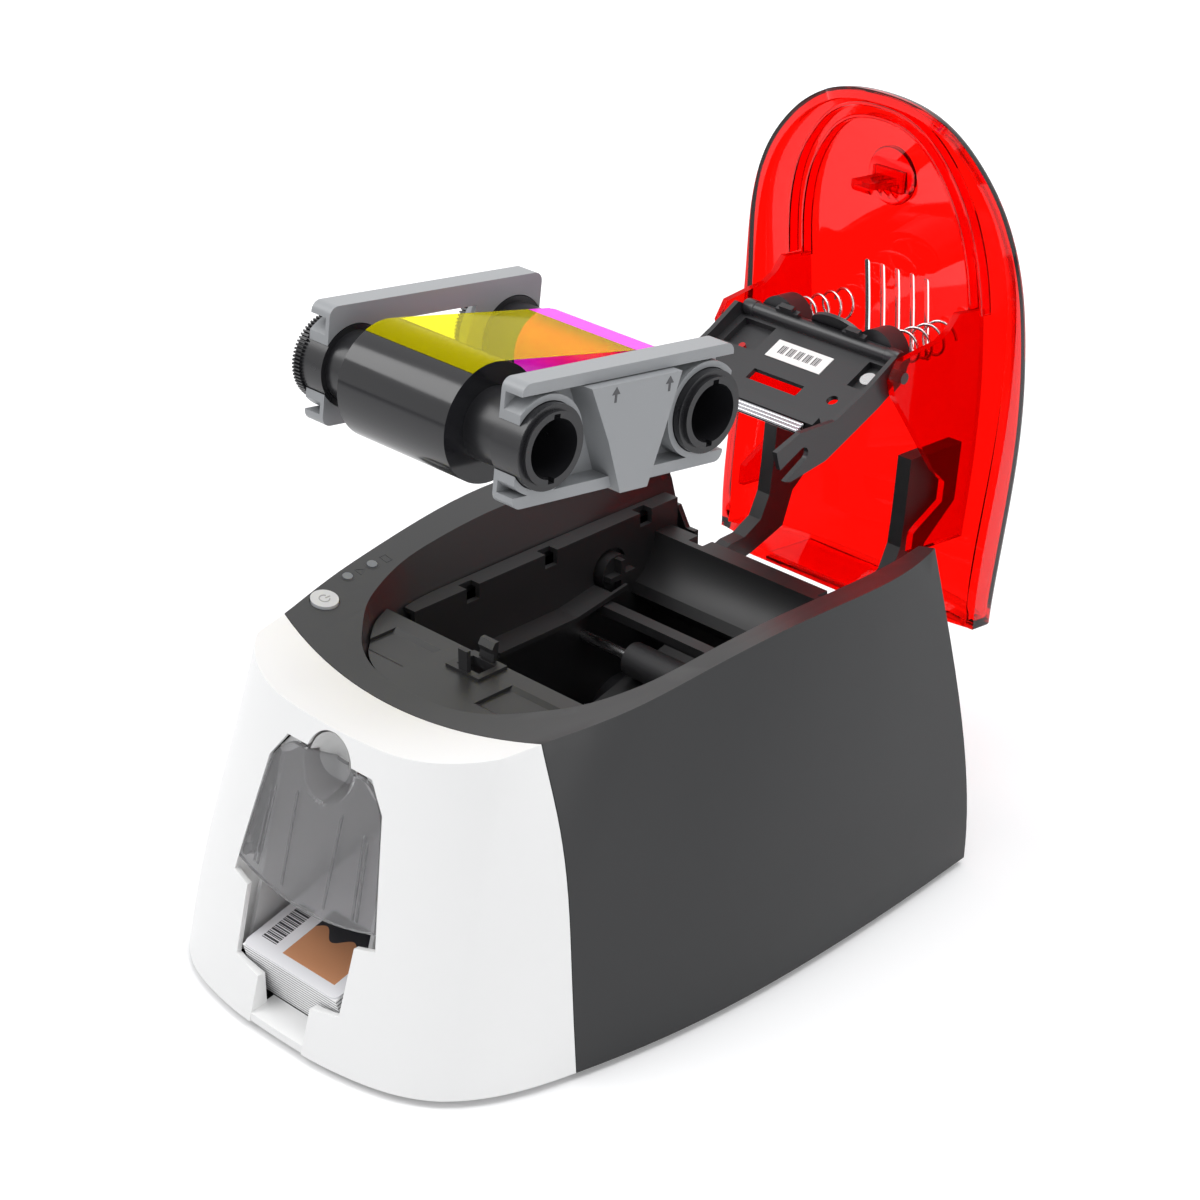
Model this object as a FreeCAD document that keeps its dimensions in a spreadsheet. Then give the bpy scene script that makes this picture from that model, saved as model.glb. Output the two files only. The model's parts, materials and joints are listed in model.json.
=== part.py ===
import FreeCAD, Part
import math
import os
import Sketcher

# Desktop ID card printer, lid open, ribbon cassette lifted out above the bay.
# X to the right, front of the printer towards -Y, Z up, millimetres.
# Heights in the tables count from the lower edge of the shell, which the feet lift off the desk.

doc = FreeCAD.newDocument("CardPrinter")
sheet = doc.addObject("Spreadsheet::Sheet", "Sizes")

SIZES = {
    # feet and shell
    "foot_height": 3.0, "foot_radius": 7.0, "foot_side": 74.0, "foot_front": 96.0, "foot_rear": 128.0,
    "shell_half_width": 107.9, "shell_front": 135.5, "shell_rear": 147.3, "shell_wall": 2.5,
    "section_low": 45.0, "section_high": 90.0, "section_top": 140.0,
    "dish_depth": 17.2, "dish_height": 127.0,
    "seam_front": 73.3, "seam_height": 126.0, "seam_bow": 22.2, "seam_run": 15.0, "seam_gap": 0.3,
    # opening under the lid
    "mouth_half_width": 72.0, "mouth_front": 65.9, "mouth_taper": 5.5, "mouth_height": 131.0,
    "mouth_floor": 113.0, "collar_wall": 2.0, "collar_depth": 6.0,
    "notch_top_half": 67.0, "notch_top": 119.0, "notch_half": 55.0, "notch_floor": 98.0,
    "hinge_notch_half": 50.0, "hinge_notch_floor": 79.0,
    # hopper window in the front
    "slot_half": 15.0, "slot_top": 18.0, "sill_half": 29.7, "sill_top": 20.7, "sill_depth": 9.0,
    "window_half": 30.7, "window_top": 47.5, "brow_half": 40.4, "brow_top": 49.5,
    "cover_low_half": 38.8, "cover_low": 54.5, "cover_high_half": 31.0, "cover_high": 98.0,
    "cover_shoulder_half": 23.0, "cover_top": 108.0, "cover_gap": 0.7, "cover_wall": 2.0,
    "scoop_radius": 10.5, "scoop_height": 105.0, "scoop_wall": 1.6, "scoop_reach": 9.0,
    "cover_rib": 1.0, "cover_rib_out": 0.6, "cover_rib_low": 58.0, "cover_rib_top": 96.0,
    "cover_rib_inner": 12.0, "cover_rib_outer": 25.0, "cover_rib_pair": 3.0,
    "cover_pin_radius": 1.5, "cover_pin_length": 4.0, "cover_pin_height": 58.0, "cover_pin_depth": 5.2,
    "cover_ear_wall": 2.1, "cover_boss": 3.3, "cover_side_gap": 1.0,
    # base tray
    "tray_thick": 3.0, "tray_gap": 0.3, "front_notch_depth": 14.0,
    # chassis side frames
    "frame_half": 56.5, "frame_wall": 2.5, "frame_front": 84.0, "frame_nose_height": 92.0,
    "frame_rear": 141.0, "frame_step": 10.0, "ledge_height": 113.5, "ledge_thick": 2.2, "ledge_half": 65.0,
    "ledge_notch": 7.0, "ledge_notch_one": 18.0, "ledge_notch_two": 62.0, "ledge_notch_three": 118.0,
    "ledge_notch_depth": 5.0,
    "shelf_inner": 44.9, "shelf_height": 86.0, "shelf_thick": 2.2, "shelf_front": 25.0, "shelf_bend": 69.0,
    "shelf_rear": 99.0, "shelf_rise": 5.0,
    # card path
    "card_lean": 14.6, "path_front": 122.0, "path_height": 5.6,
    "card_length": 85.6, "card_width": 53.98, "card_thick": 0.76, "card_pitch": 0.8, "card_corner": 3.2,
    "guide_half": 30.3, "guide_thick": 2.0, "guide_gap": 0.2, "guide_length": 236.0, "guide_slot": 11.0,
    "hopper_wall_out": 32.7, "hopper_top": 99.0, "hopper_rear": 36.0, "front_slope_run": 36.0, "slope_share": 1.06,
    "hopper_clear": 6.0,
    "platen_radius": 9.0, "platen_half": 28.0, "platen_shaft": 2.6, "platen_front": 58.4, "platen_height": 43.2,
    "feed_radius": 8.0, "feed_half": 11.0, "feed_at": 60.0, "roller_gap": 0.1, "shaft_radius": 2.5,
    "transport_radius": 8.0, "transport_half": 20.0, "transport_at": 112.0,
    "pinch_radius": 5.0, "pinch_half": 20.0,
    "clean_radius": 7.5, "clean_half": 27.0, "clean_at": 215.0,
    "shaft_overhang": 1.5, "bore_gap": 0.05, "gear_reach": 9.0,
    # gears and motor outside and inside the left frame
    "gear_wall": 5.0, "gear_off": 1.2, "gear_mesh_gap": 0.15, "pinion_radius": 6.0, "idler_radius": 15.0,
    "motor_front": 104.0, "motor_height": 24.0, "motor_radius": 17.5, "motor_length": 24.0,
    "motor_shaft": 2.5, "idler_pin": 2.5,
    "spindle_front": 99.8, "spindle_height": 93.2, "spindle_radius": 8.2, "spindle_hole": 10.0,
    "spindle_in": 4.0, "spindle_out": 8.0, "spindle_tooth": 2.4, "spindle_boss": 3.4,
    # rear cross wall with the hinge brackets
    "wall_front": 125.7, "wall_mid": 131.0, "wall_rear": 137.0, "wall_top": 102.0,
    "trough_front": 113.0, "trough_low": 78.0, "trough_toe": 66.0, "trough_radius": 24.5,
    "trough_y": 103.0, "trough_z": 103.5,
    "hinge_y": 142.1, "hinge_z": 88.9, "hinge_rod": 2.4, "hinge_eye": 4.9, "bracket_wall": 4.0,
    "arm_in": 33.0, "arm_out": 40.0, "hinge_side_gap": 0.6, "hinge_rod_over": 1.0,
    "bridge_y": 84.0, "bridge_deep": 6.0, "bridge_tall": 4.0,
    # deck in front of the bay
    "deck_height": 117.6, "deck_thick": 2.4, "deck_rear": 21.0, "deck_gap": 0.4, "deck_skirt": 9.0,
    "dip_half": 13.0, "dip_depth": 1.2, "dip_at": 33.0, "dip_front": 49.0, "dip_rear": 29.0,
    "latch_half": 9.2, "latch_front": 36.5, "latch_rear": 21.6, "latch_plate": 1.2,
    "latch_slot_half": 6.2, "latch_slot_front": 33.5, "latch_slot_rear": 25.0,
    "tower_half": 2.4, "tower_front": 36.0, "tower_back": 34.0, "tower_tall": 9.9,
    "claw_half": 4.0, "claw_foot": 24.0, "claw_thick": 2.0, "claw_tall": 7.9, "claw_nose": 1.6,
    "claw_lean": 1.2, "claw_nose_height": 5.0, "claw_gap": 0.3,
    # controls on the left of the rim
    "button_x": 69.1, "button_y": 45.3, "button_long": 5.6, "button_wide": 4.2, "button_proud": 1.0,
    "button_deep": 6.0, "button_gap": 0.35,
    "lamp_x": 75.6, "lamp_one": 27.8, "lamp_two": 15.0, "lamp_radius": 2.1, "lamp_proud": 0.4, "lamp_deep": 5.0,
    # lid
    "lid_open_angle": 96.2, "lid_over": 1.2, "lid_gap": 1.4, "lid_wall": 2.2,
    "crown_height": 155.0, "crown_drop": 7.9, "lid_edge": 5.0,
    "lid_tail_over": 3.9, "lid_tail_half": 53.0, "lid_tail_bottom": 117.5, "lid_tail_wall": 2.2, "lid_tail_gap": 1.0,
    "vent_half": 12.5, "vent_wide": 2.5, "vent_pitch": 8.0, "vent_first": 16.5,
    "ridge_half": 48.5, "ridge_wall": 2.0, "ridge_front": 55.3, "ridge_rear": 8.0, "ridge_drop": 3.0,
    "hook_half": 4.9, "hook_front": 30.9, "hook_thick": 3.0, "hook_tip": 114.7, "hook_barb": 1.8,
    "hook_barb_tall": 3.0, "hook_root_half": 8.0, "hook_root_depth": 12.0,
    "ear_in": 45.3, "ear_wall": 3.0, "ear_span": 101.0, "ear_rise": 61.5, "ear_front": 14.0, "ear_low": 88.5,
    "arm_span": 58.3, "arm_front": 75.6, "arm_low": 95.9, "arm_rise": 54.0,
    "pivot_y": 35.6, "pivot_z": 95.8, "pivot_radius": 2.4, "pivot_eye": 5.0,
    "spring_x": 26.0, "spring_radius": 6.6, "spring_wire": 1.3, "spring_turns": 5.0, "spring_low": 113.1,
    "spring_y": 33.0, "spring_cup": 9.0, "spring_rest": 0.9, "spring_cup_wall": 1.2, "spring_cup_tall": 6.0,
    # print head, measured along its own slope from its upper edge
    "head_y": 33.0, "head_z": 98.1, "head_lean": 60.0,
    "head_half": 41.6, "head_plate": 2.2, "head_length": 43.0, "head_rim": 5.0,
    "head_arm_wall": 2.2, "head_arm_length": 75.0, "head_arm_deep": 24.0, "head_arm_top": 17.0,
    "fork_gap": 0.35, "fork_flare": 1.5,
    "pocket_long": 15.0, "pocket_deep": 3.0, "pocket_in": 21.0, "pocket_out": 38.0, "pocket_start": 2.0,
    "pocket_wall": 1.2, "pocket_right_in": 29.5,
    "window_slot_half": 13.5, "window_slot_start": 25.0, "window_slot_end": 31.0,
    "head_hole_x": 29.6, "head_hole_u": 26.5, "head_hole_radius": 2.5,
    "bar_radius": 2.0, "bar_over": 3.2, "bar_rise": 0.9,
    "print_half": 32.0, "print_start": 45.3, "print_gap": 0.3, "print_low": 0.4, "print_high": 5.2, "print_flange": 36.0,
    "sink_start": 33.0, "sink_end": 44.6, "sink_deep": 7.0, "sink_gap": 0.3, "sink_fins": 7.0, "sink_fin": 2.2,
    "label_half": 14.7, "label_start": 7.0, "label_end": 17.0, "label_thick": 0.3,
    "screw_head": 3.4, "screw_tall": 1.8, "screw_u": 9.5, "screw_x": 34.2, "boss_radius": 3.0, "boss_tall": 1.6,
    # ribbon cassette, measured from the middle between its two cores
    "cassette_y": -5.25, "cassette_z": 227.3, "cassette_lean": 8.0,
    "core_reach": 40.65, "core_half": 60.5, "core_bore": 11.2, "core_radius": 13.8, "core_collar": 16.0,
    "core_collar_wide": 3.0, "core_key": 1.6, "core_key_wide": 3.0,
    "film_half": 28.5, "supply_radius": 22.6, "takeup_radius": 15.4, "film_gap": 0.4, "film_thick": 0.4,
    "flange_face": 55.8, "flange_wall": 2.0, "flange_web": 47.5, "flange_half": 54.0,
    "flange_top": 24.0, "flange_bottom": 22.0, "flange_rim": 4.5, "flange_corner": 4.0,
    "holder_radius": 18.6, "core_seat": 0.3,
    "boss_face": 60.0, "boss_in": 24.0, "boss_right": 22.0, "boss_top": 19.0, "boss_low": 23.0,
    "knurl_radius": 16.8, "knurl_wide": 6.0, "knurl_tooth": 1.3, "far_window_half": 20.0, "far_window_top": 15.0,
    "far_window_low": 6.0,
    # electronics and sockets
    "board_x": 72.0, "board_thick": 1.6, "board_front": 20.0, "board_rear": 122.0, "board_low": 8.0,
    "board_top": 58.0, "inlet_x": 70.0, "inlet_radius": 4.6, "inlet_half": 6.5, "inlet_z": 22.0, "inlet_deep": 14.0,
    "inlet_pin": 1.2, "port_x": 88.0, "port_half": 6.2, "port_tall": 11.0, "port_low": 16.5, "port_deep": 14.0,
    "port_wall": 0.9, "port_tongue": 2.6, "standoff_radius": 3.0,
    "overrun": 10.0,
}

# Outline shares: across as a share of the half width, along as a share of the front or rear reach.
FRONT_SHARES = [
    [(0.0, -1.0), (0.1668, -0.9985), (0.3336, -0.983), (0.5301, -0.9432), (0.6793, -0.8731)],
    [(0.0, -0.9004), (0.1668, -0.8996), (0.3336, -0.89), (0.5283, -0.8502), (0.684, -0.7749)],
    [(0.0, -0.8007), (0.1576, -0.8), (0.3151, -0.7941), (0.5005, -0.7572), (0.6525, -0.6716)],
    [(0.0, -0.69), (0.1483, -0.6908), (0.2873, -0.6923), (0.4634, -0.6568), (0.6256, -0.5609)],
]
SIDE_SHARES = [
    [(0.7785, -0.7712), (0.8888, -0.524), (0.9676, -0.1793), (0.9935, 0.0597), (1.0, 0.3123), (0.9898, 0.6042),
     (0.9537, 1.0)],
    [(0.7553, -0.6827), (0.836, -0.5018), (0.9222, -0.1793), (0.9601, 0.0597), (0.9759, 0.3123), (0.9694, 0.6042),
     (0.9323, 1.0)],
    [(0.7044, -0.5941), (0.7692, -0.4797), (0.8369, -0.1793), (0.8804, 0.0597), (0.9045, 0.3123), (0.8981, 0.6042),
     (0.8434, 1.0)],
    [(0.6321, -0.5092), (0.6302, -0.4576), (0.7183, -0.1793), (0.7646, 0.0597), (0.7924, 0.3123), (0.7878, 0.6042),
     (0.7136, 1.0)],
]
MOUTH_SHARES = [(0.0, -1.0), (0.3333, -0.9621), (0.5694, -0.827), (0.7014, -0.6829), (0.8194, -0.5311),
                (0.9167, -0.3035), (0.9722, -0.0759), (0.9917, 0.095), (1.0, 0.3394), (0.9861, 0.6789),
                (0.9722, 1.0)]
# height of the dished top surface: place as a share of the reach, height as a share of dish_height
DISH_SHARES = [(-1.08, 0.9331), (-0.73, 0.9386), (-0.54, 0.9409), (-0.16, 0.9512), (0.095, 0.9756),
               (0.4073, 0.9882), (1.06, 1.0)]
# height of the crown of the lid along its centre line
CROWN_SHARES = [(-1.06, 0.812), (-0.84, 0.842), (-0.46, 0.887), (0.0, 0.9355), (0.24, 0.9806), (0.543, 1.0),
                (1.02, 0.987)]
EAR_SHARES = [(0.005, 0.758), (0.0, 0.626), (0.066, 0.538), (0.099, 0.442), (0.116, 0.268), (0.139, 0.072),
              (0.218, 0.0), (0.281, 0.041), (0.417, 0.231), (0.662, 0.567), (0.722, 0.693), (0.81, 0.693),
              (0.891, 0.476), (0.916, 0.42), (1.0, 0.42), (1.0, 1.05), (0.005, 1.05)]
ARM_SHARES = [(1.0, 0.0), (0.981, 0.15), (0.878, 0.328), (0.695, 0.404), (0.46, 0.413), (0.03, 0.409),
              (0.0, 1.0), (0.44, 1.0), (0.712, 0.685), (0.978, 0.606), (1.123, 0.252)]
# side arm of the print head: along its slope, height towards the lid
HEAD_ARM_SHARES = [(0.228, 0.204), (0.32, 0.204), (0.529, 0.233), (0.776, 0.629), (0.964, 0.7), (0.975, 0.5),
                   (0.98, 0.26), (0.995, 0.133), (0.94, -0.021), (0.676, -0.271), (0.463, -0.287),
                   (0.228, -0.3), (0.0, -0.25), (-0.06, 0.0), (0.0, 0.25)]


class Size:
    """A length as the formula that drives a property and as its present value."""

    def __init__(self, formula, value):
        self.formula, self.value = formula, float(value)

    def __add__(self, other):
        other = as_size(other)
        return Size("(%s + %s)" % (self.formula, other.formula), self.value + other.value)

    def __sub__(self, other):
        other = as_size(other)
        return Size("(%s - %s)" % (self.formula, other.formula), self.value - other.value)

    def __mul__(self, other):
        other = as_size(other)
        return Size("(%s * %s)" % (self.formula, other.formula), self.value * other.value)

    def __truediv__(self, other):
        other = as_size(other)
        return Size("(%s / %s)" % (self.formula, other.formula), self.value / other.value)

    def __neg__(self):
        return Size("(-1 * %s)" % self.formula, -self.value)

    __radd__ = __add__
    __rmul__ = __mul__

    def __rsub__(self, other):
        return as_size(other) - self


def as_size(number):
    return number if isinstance(number, Size) else Size(repr(float(number)), number)


def cosine(angle):
    return Size("cos(%s * 1deg)" % angle.formula, math.cos(math.radians(angle.value)))


def sine(angle):
    return Size("sin(%s * 1deg)" % angle.formula, math.sin(math.radians(angle.value)))


class Names:
    """The named sizes of the sheet."""


s = Names()
for row, (name, number) in enumerate(SIZES.items(), 1):
    sheet.set("A%d" % row, name)
    sheet.set("B%d" % row, str(number))
    sheet.setAlias("B%d" % row, name)
doc.recompute()
for name in SIZES:
    setattr(s, name, Size("Sizes." + name, sheet.get(name)))

ZERO = as_size(0)
X_AXIS, Y_AXIS, Z_AXIS = FreeCAD.Vector(1, 0, 0), FreeCAD.Vector(0, 1, 0), FreeCAD.Vector(0, 0, 1)
PLANES = {
    "YZ": FreeCAD.Rotation(FreeCAD.Vector(1, 1, 1), 120),
    "XZ": FreeCAD.Rotation(X_AXIS, 90),
    "XY": FreeCAD.Rotation(),
}


def bind(item, prop, size):
    if isinstance(size, Size):
        item.setExpression(prop, size.formula)
    else:
        setattr(item, prop, size)


def move(item, x, y, z):
    for axis, size in zip("xyz", (x, y, z)):
        size = as_size(size)
        if size.formula != ZERO.formula:
            item.setExpression("Placement.Base." + axis, size.formula)
    return item


def block(label, across, along, up):
    """A box between two bounds on each axis."""
    item = doc.addObject("Part::Box", label)
    for prop, (low, high) in zip(("Length", "Width", "Height"), (across, along, up)):
        bind(item, prop, as_size(high) - low)
    return move(item, across[0], along[0], up[0])


def rod(label, axis, start, radius, length):
    """A cylinder from its start point along an axis."""
    item = doc.addObject("Part::Cylinder", label)
    bind(item, "Radius", radius)
    bind(item, "Height", length)
    turn = {"x": FreeCAD.Rotation(Y_AXIS, 90), "y": FreeCAD.Rotation(X_AXIS, -90), "z": FreeCAD.Rotation()}
    item.Placement = FreeCAD.Placement(FreeCAD.Vector(), turn[axis])
    return move(item, *start)


def cut(label, base, *tools):
    item = doc.addObject("Part::Cut", label)
    item.Base = base
    item.Tool = tools[0] if len(tools) == 1 else fuse(label + "_tools", *tools)
    return item


def fuse(label, *items):
    item = doc.addObject("Part::MultiFuse", label)
    item.Shapes = list(items)
    return item


def common(label, *items):
    item = doc.addObject("Part::MultiCommon", label)
    item.Shapes = list(items)
    return item


def together(label, *items):
    item = doc.addObject("Part::Compound", label)
    item.Links = list(items)
    return item


def mirror(label, item):
    copy = doc.addObject("Part::Mirroring", label)
    copy.Source = item
    copy.Normal = X_AXIS
    return copy


def both(label, item):
    return fuse(label, item, mirror(label + "_other", item))


def pair(label, item):
    return together(label, item, mirror(label + "_other", item))


def prism(label, plane, points, start, length):
    """A profile drawn in a plane and pushed square to it, from start to start + length."""
    sketch = doc.addObject("Sketcher::SketchObject", label + "_sketch")
    sketch.Placement = FreeCAD.Placement(FreeCAD.Vector(), PLANES[plane])
    places = [FreeCAD.Vector(as_size(a).value, as_size(b).value, 0) for a, b in points]
    for i, place in enumerate(places):
        sketch.addGeometry(Part.LineSegment(place, places[(i + 1) % len(places)]), False)
    for i in range(len(places)):
        sketch.addConstraint(Sketcher.Constraint("Coincident", i, 2, (i + 1) % len(places), 1))
    for i, (a, b) in enumerate(points):
        for kind, size in (("DistanceX", as_size(a)), ("DistanceY", as_size(b))):
            if size.formula == ZERO.formula:
                sketch.addConstraint(Sketcher.Constraint("PointOnObject", i, 1, -2 if kind == "DistanceX" else -1))
            else:
                row = sketch.addConstraint(Sketcher.Constraint(kind, -1, 1, i, 1, size.value))
                sketch.setExpression("Constraints[%d]" % row, size.formula)
    item = doc.addObject("Part::Extrusion", label)
    item.Base = sketch
    item.DirMode = "Normal"
    item.Solid = True
    bind(item, "LengthFwd", length)
    start = as_size(start)
    return move(item, *{"YZ": (start, 0, 0), "XZ": (0, start + length, 0), "XY": (0, 0, start)}[plane])


def rounded(label, base, radius, chosen):
    """Rounds the edges that the chooser picks."""
    doc.recompute()
    item = doc.addObject("Part::Fillet", label)
    item.Base = base
    item.Edges = [(i, radius.value, radius.value) for i, edge in enumerate(base.Shape.Edges, 1) if chosen(edge)]
    return item


def along(edge, axis):
    ends = [v.Point for v in edge.Vertexes]
    return len(ends) == 2 and abs((ends[1] - ends[0]).normalize().dot(axis)) > 0.999


def table(shares, across, front, rear):
    return [(x * across, y * (front if y < 0 else rear)) for x, y in shares]


def spline(points):
    curve = Part.BSplineCurve()
    curve.interpolate(points)
    return curve.toShape()


def section(label, level, height, inset, rear_inset=None):
    """One horizontal outline of the shell, drawn inside the outer skin by the inset."""
    rear_inset = inset if rear_inset is None else rear_inset
    sizes = (s.shell_half_width.value - inset, s.shell_front.value - inset, s.shell_rear.value - rear_inset)
    front = [FreeCAD.Vector(x, y, height) for x, y in table(FRONT_SHARES[level], *sizes)]
    side = [front[-1]] + [FreeCAD.Vector(x, y, height) for x, y in table(SIDE_SHARES[level], *sizes)]
    left = [FreeCAD.Vector(-p.x, p.y, p.z) for p in front]
    left_side = [FreeCAD.Vector(-p.x, p.y, p.z) for p in side]
    edges = [spline(list(reversed(left))[:-1] + front), spline(side),
             Part.makeLine(side[-1], left_side[-1]), spline(list(reversed(left_side)))]
    item = doc.addObject("Part::Feature", label)
    item.Shape = Part.Wire(edges)
    return item


def loft(label, sections, ruled=False):
    item = doc.addObject("Part::Loft", label)
    item.Sections = sections
    item.Solid = True
    item.Ruled = ruled
    return item


def hull(label, inset, bottom=0.0):
    heights = (bottom, s.section_low.value, s.section_high.value, s.section_top.value)
    return loft(label, [section("%s_level_%d" % (label, i), i, height, inset) for i, height in enumerate(heights)])


def arched(label, shares, height, bulge, reach_front, reach_rear, half, drop, roof):
    """The space above an arched surface: arcs across the printer, one at each station along it."""
    sections = []
    for i, (place, share) in enumerate(shares):
        y = place * (reach_front if place < 0 else reach_rear)
        middle = share * height - drop
        edge = middle + bulge
        arc = Part.Arc(FreeCAD.Vector(-half, y, edge), FreeCAD.Vector(0, y, middle), FreeCAD.Vector(half, y, edge))
        high, low = FreeCAD.Vector(half, y, roof), FreeCAD.Vector(-half, y, roof)
        wire = Part.Wire([arc.toShape(), Part.makeLine(arc.EndPoint, high), Part.makeLine(high, low),
                          Part.makeLine(low, arc.StartPoint)])
        item = doc.addObject("Part::Feature", "%s_station_%d" % (label, i))
        item.Shape = wire
        sections.append(item)
    return loft(label, sections)


def mouth(label, height, grow, rear):
    """Outline of the opening under the lid, larger by grow than its upper edge."""
    half, front = s.mouth_half_width.value + grow, s.mouth_front.value + grow
    right = [FreeCAD.Vector(x, y, height) for x, y in table(MOUTH_SHARES, half, front, rear)]
    left = [FreeCAD.Vector(-p.x, p.y, p.z) for p in right]
    item = doc.addObject("Part::Feature", label)
    item.Shape = Part.Wire([spline(list(reversed(left))[:-1] + right), Part.makeLine(right[-1], left[-1])])
    return item


NODES = []
OPEN_COS, OPEN_SIN = cosine(s.lid_open_angle), sine(s.lid_open_angle)


def opened(y, z):
    """Where a point of the closed lid lies when the lid stands open."""
    dy, dz = y - s.hinge_y, z - s.hinge_z
    return (s.hinge_y + dy * OPEN_COS + dz * OPEN_SIN, s.hinge_z - dy * OPEN_SIN + dz * OPEN_COS + s.foot_height)


def node(item, label, frame="body"):
    """Names a finished piece and sets it in its own frame: body, card path, lid, head or cassette."""
    turns = {"body": None, "path": s.card_lean, "lid": s.lid_open_angle, "head": s.lid_open_angle + s.head_lean,
             "cassette": s.cassette_lean}
    places = {"body": (ZERO, s.foot_height), "path": (-s.path_front, s.path_height + s.foot_height),
              "lid": opened(ZERO, ZERO), "head": opened(s.head_y, s.head_z),
              "cassette": (s.cassette_y, s.cassette_z + s.foot_height)}
    if item.Label == label:
        item.Label = label + "_form"
    holder = item
    if item.Placement.Rotation.Angle > 0 or any("Placement" in path for path, formula in item.ExpressionEngine):
        holder = together(label + "_set", item)
    if turns[frame] is not None:
        axis = X_AXIS if frame == "path" else -X_AXIS
        holder.Placement = FreeCAD.Placement(FreeCAD.Vector(), FreeCAD.Rotation(axis, turns[frame].value))
        holder.setExpression("Placement.Rotation.Angle", turns[frame].formula)
    move(holder, 0, *places[frame])
    holder.Label = label
    NODES.append(holder)
    return holder


over = s.overrun
lean_cos, lean_sin = cosine(s.card_lean), sine(s.card_lean)


def on_path(run, rise):
    """A point of the card path, given along and off the path, in the frame of the body."""
    return (run * lean_cos - rise * lean_sin - s.path_front, run * lean_sin + rise * lean_cos + s.path_height)


# ---- shell: one lofted skin, dished on top, open under the lid, parted into a front and a rear moulding
wall = s.shell_wall.value
dish = dict(shares=DISH_SHARES, height=s.dish_height.value, bulge=s.dish_depth.value,
            reach_front=s.shell_front.value, reach_rear=s.shell_rear.value, half=s.shell_half_width.value,
            roof=s.section_top.value + s.shell_half_width.value)
above_dish = arched("above_dish", drop=0.0, **dish)
below_dish_wall = arched("above_dish_wall", drop=wall, **dish)
outer = cut("outer_form", hull("outer_hull", 0.0), above_dish)
inner = cut("inner_form", hull("inner_hull", wall), below_dish_wall)
taper = s.mouth_taper.value
far = s.shell_rear.value + s.overrun.value
steps = (s.mouth_height - s.mouth_floor).value
deep = s.mouth_floor.value - s.collar_depth.value
mouth_cut = loft("mouth_cut", [
    mouth("mouth_low", deep, -taper * (s.mouth_height.value - deep) / steps, far),
    mouth("mouth_high", s.section_top.value, taper * (s.section_top - s.mouth_height).value / steps, far)])
collar_grow = s.collar_wall.value
collar = loft("collar_form", [
    mouth("collar_low", deep, collar_grow - taper * (s.mouth_height.value - deep) / steps, far),
    mouth("collar_high", s.section_top.value,
          collar_grow + taper * (s.section_top - s.mouth_height).value / steps, far)])
skin = fuse("skin", cut("skin_wall", outer, inner), common("collar_in_shell", collar, outer))
skin_open = cut("skin_open", skin, mouth_cut)


def seam_wires(label, gap):
    """Wires of the space in front of the bowed seam between the two mouldings."""
    items = []
    for i, height in enumerate((-s.overrun.value, s.section_top.value + s.overrun.value)):
        half = s.shell_half_width.value
        y = -s.seam_front.value + gap + (height - s.seam_height.value) * s.seam_run.value / s.seam_height.value
        arc = Part.Arc(FreeCAD.Vector(-half, y + s.seam_bow.value, height), FreeCAD.Vector(0, y, height),
                       FreeCAD.Vector(half, y + s.seam_bow.value, height))
        ahead = -s.shell_front.value - s.overrun.value
        right, left = FreeCAD.Vector(half, ahead, height), FreeCAD.Vector(-half, ahead, height)
        item = doc.addObject("Part::Feature", "%s_%d" % (label, i))
        item.Shape = Part.Wire([arc.toShape(), Part.makeLine(arc.EndPoint, right), Part.makeLine(right, left),
                                Part.makeLine(left, arc.StartPoint)])
        items.append(item)
    return items


ahead_of_seam = loft("ahead_of_seam", seam_wires("seam_front_wire", 0.0))
ahead_with_gap = loft("ahead_with_gap", seam_wires("seam_rear_wire", s.seam_gap.value))

# hopper window, the sill blocks beside its slot and the seat of the cover
cover_outline = [(-s.cover_low_half, s.cover_low), (s.cover_low_half, s.cover_low),
                 (s.cover_high_half, s.cover_high), (s.cover_shoulder_half, s.cover_top),
                 (-s.cover_shoulder_half, s.cover_top), (-s.cover_high_half, s.cover_high)]
gap = s.cover_gap
window = prism("window_cut", "XZ", [
    (-s.slot_half, -over), (s.slot_half, -over), (s.slot_half, s.slot_top), (s.sill_half, s.sill_top),
    (s.window_half, s.window_top), (s.brow_half, s.brow_top), (s.cover_low_half + gap, s.cover_low),
    (s.cover_high_half + gap, s.cover_high), (s.cover_shoulder_half + gap, s.cover_top + gap),
    (-s.cover_shoulder_half - gap, s.cover_top + gap), (-s.cover_high_half - gap, s.cover_high),
    (-s.cover_low_half - gap, s.cover_low), (-s.brow_half, s.brow_top), (-s.window_half, s.window_top),
    (-s.sill_half, s.sill_top), (-s.slot_half, s.slot_top)],
    -(s.shell_front + over), s.shell_front + over - s.seam_front)
sill = both("sills", prism("sill", "XZ", [
    (s.slot_half, s.tray_thick + s.tray_gap), (s.window_half, s.tray_thick + s.tray_gap),
    (s.window_half, s.sill_top), (s.sill_half, s.sill_top), (s.slot_half, s.slot_top)],
    -s.shell_front, s.sill_depth))
scoop_bore = rod("scoop_bore", "y", (0, -s.shell_front, s.scoop_height), s.scoop_radius + s.scoop_wall + gap,
                 s.shell_front - s.seam_front)
front_slope = s.front_slope_run / s.dish_height * s.slope_share
pin_y = -(s.shell_front - s.cover_pin_height * front_slope) + s.cover_pin_depth
hinge_boss = common("cover_boss_in", outer, both("cover_bosses", block(
    "cover_boss", (s.cover_low_half + s.cover_side_gap, s.cover_low_half + s.cover_side_gap + s.cover_pin_length),
    (pin_y - s.cover_boss * 2, pin_y + s.cover_boss),
    (s.cover_pin_height - s.cover_boss, s.cover_pin_height + s.cover_boss))))
pin_end = s.cover_low_half + s.cover_side_gap + s.cover_pin_length
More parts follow.
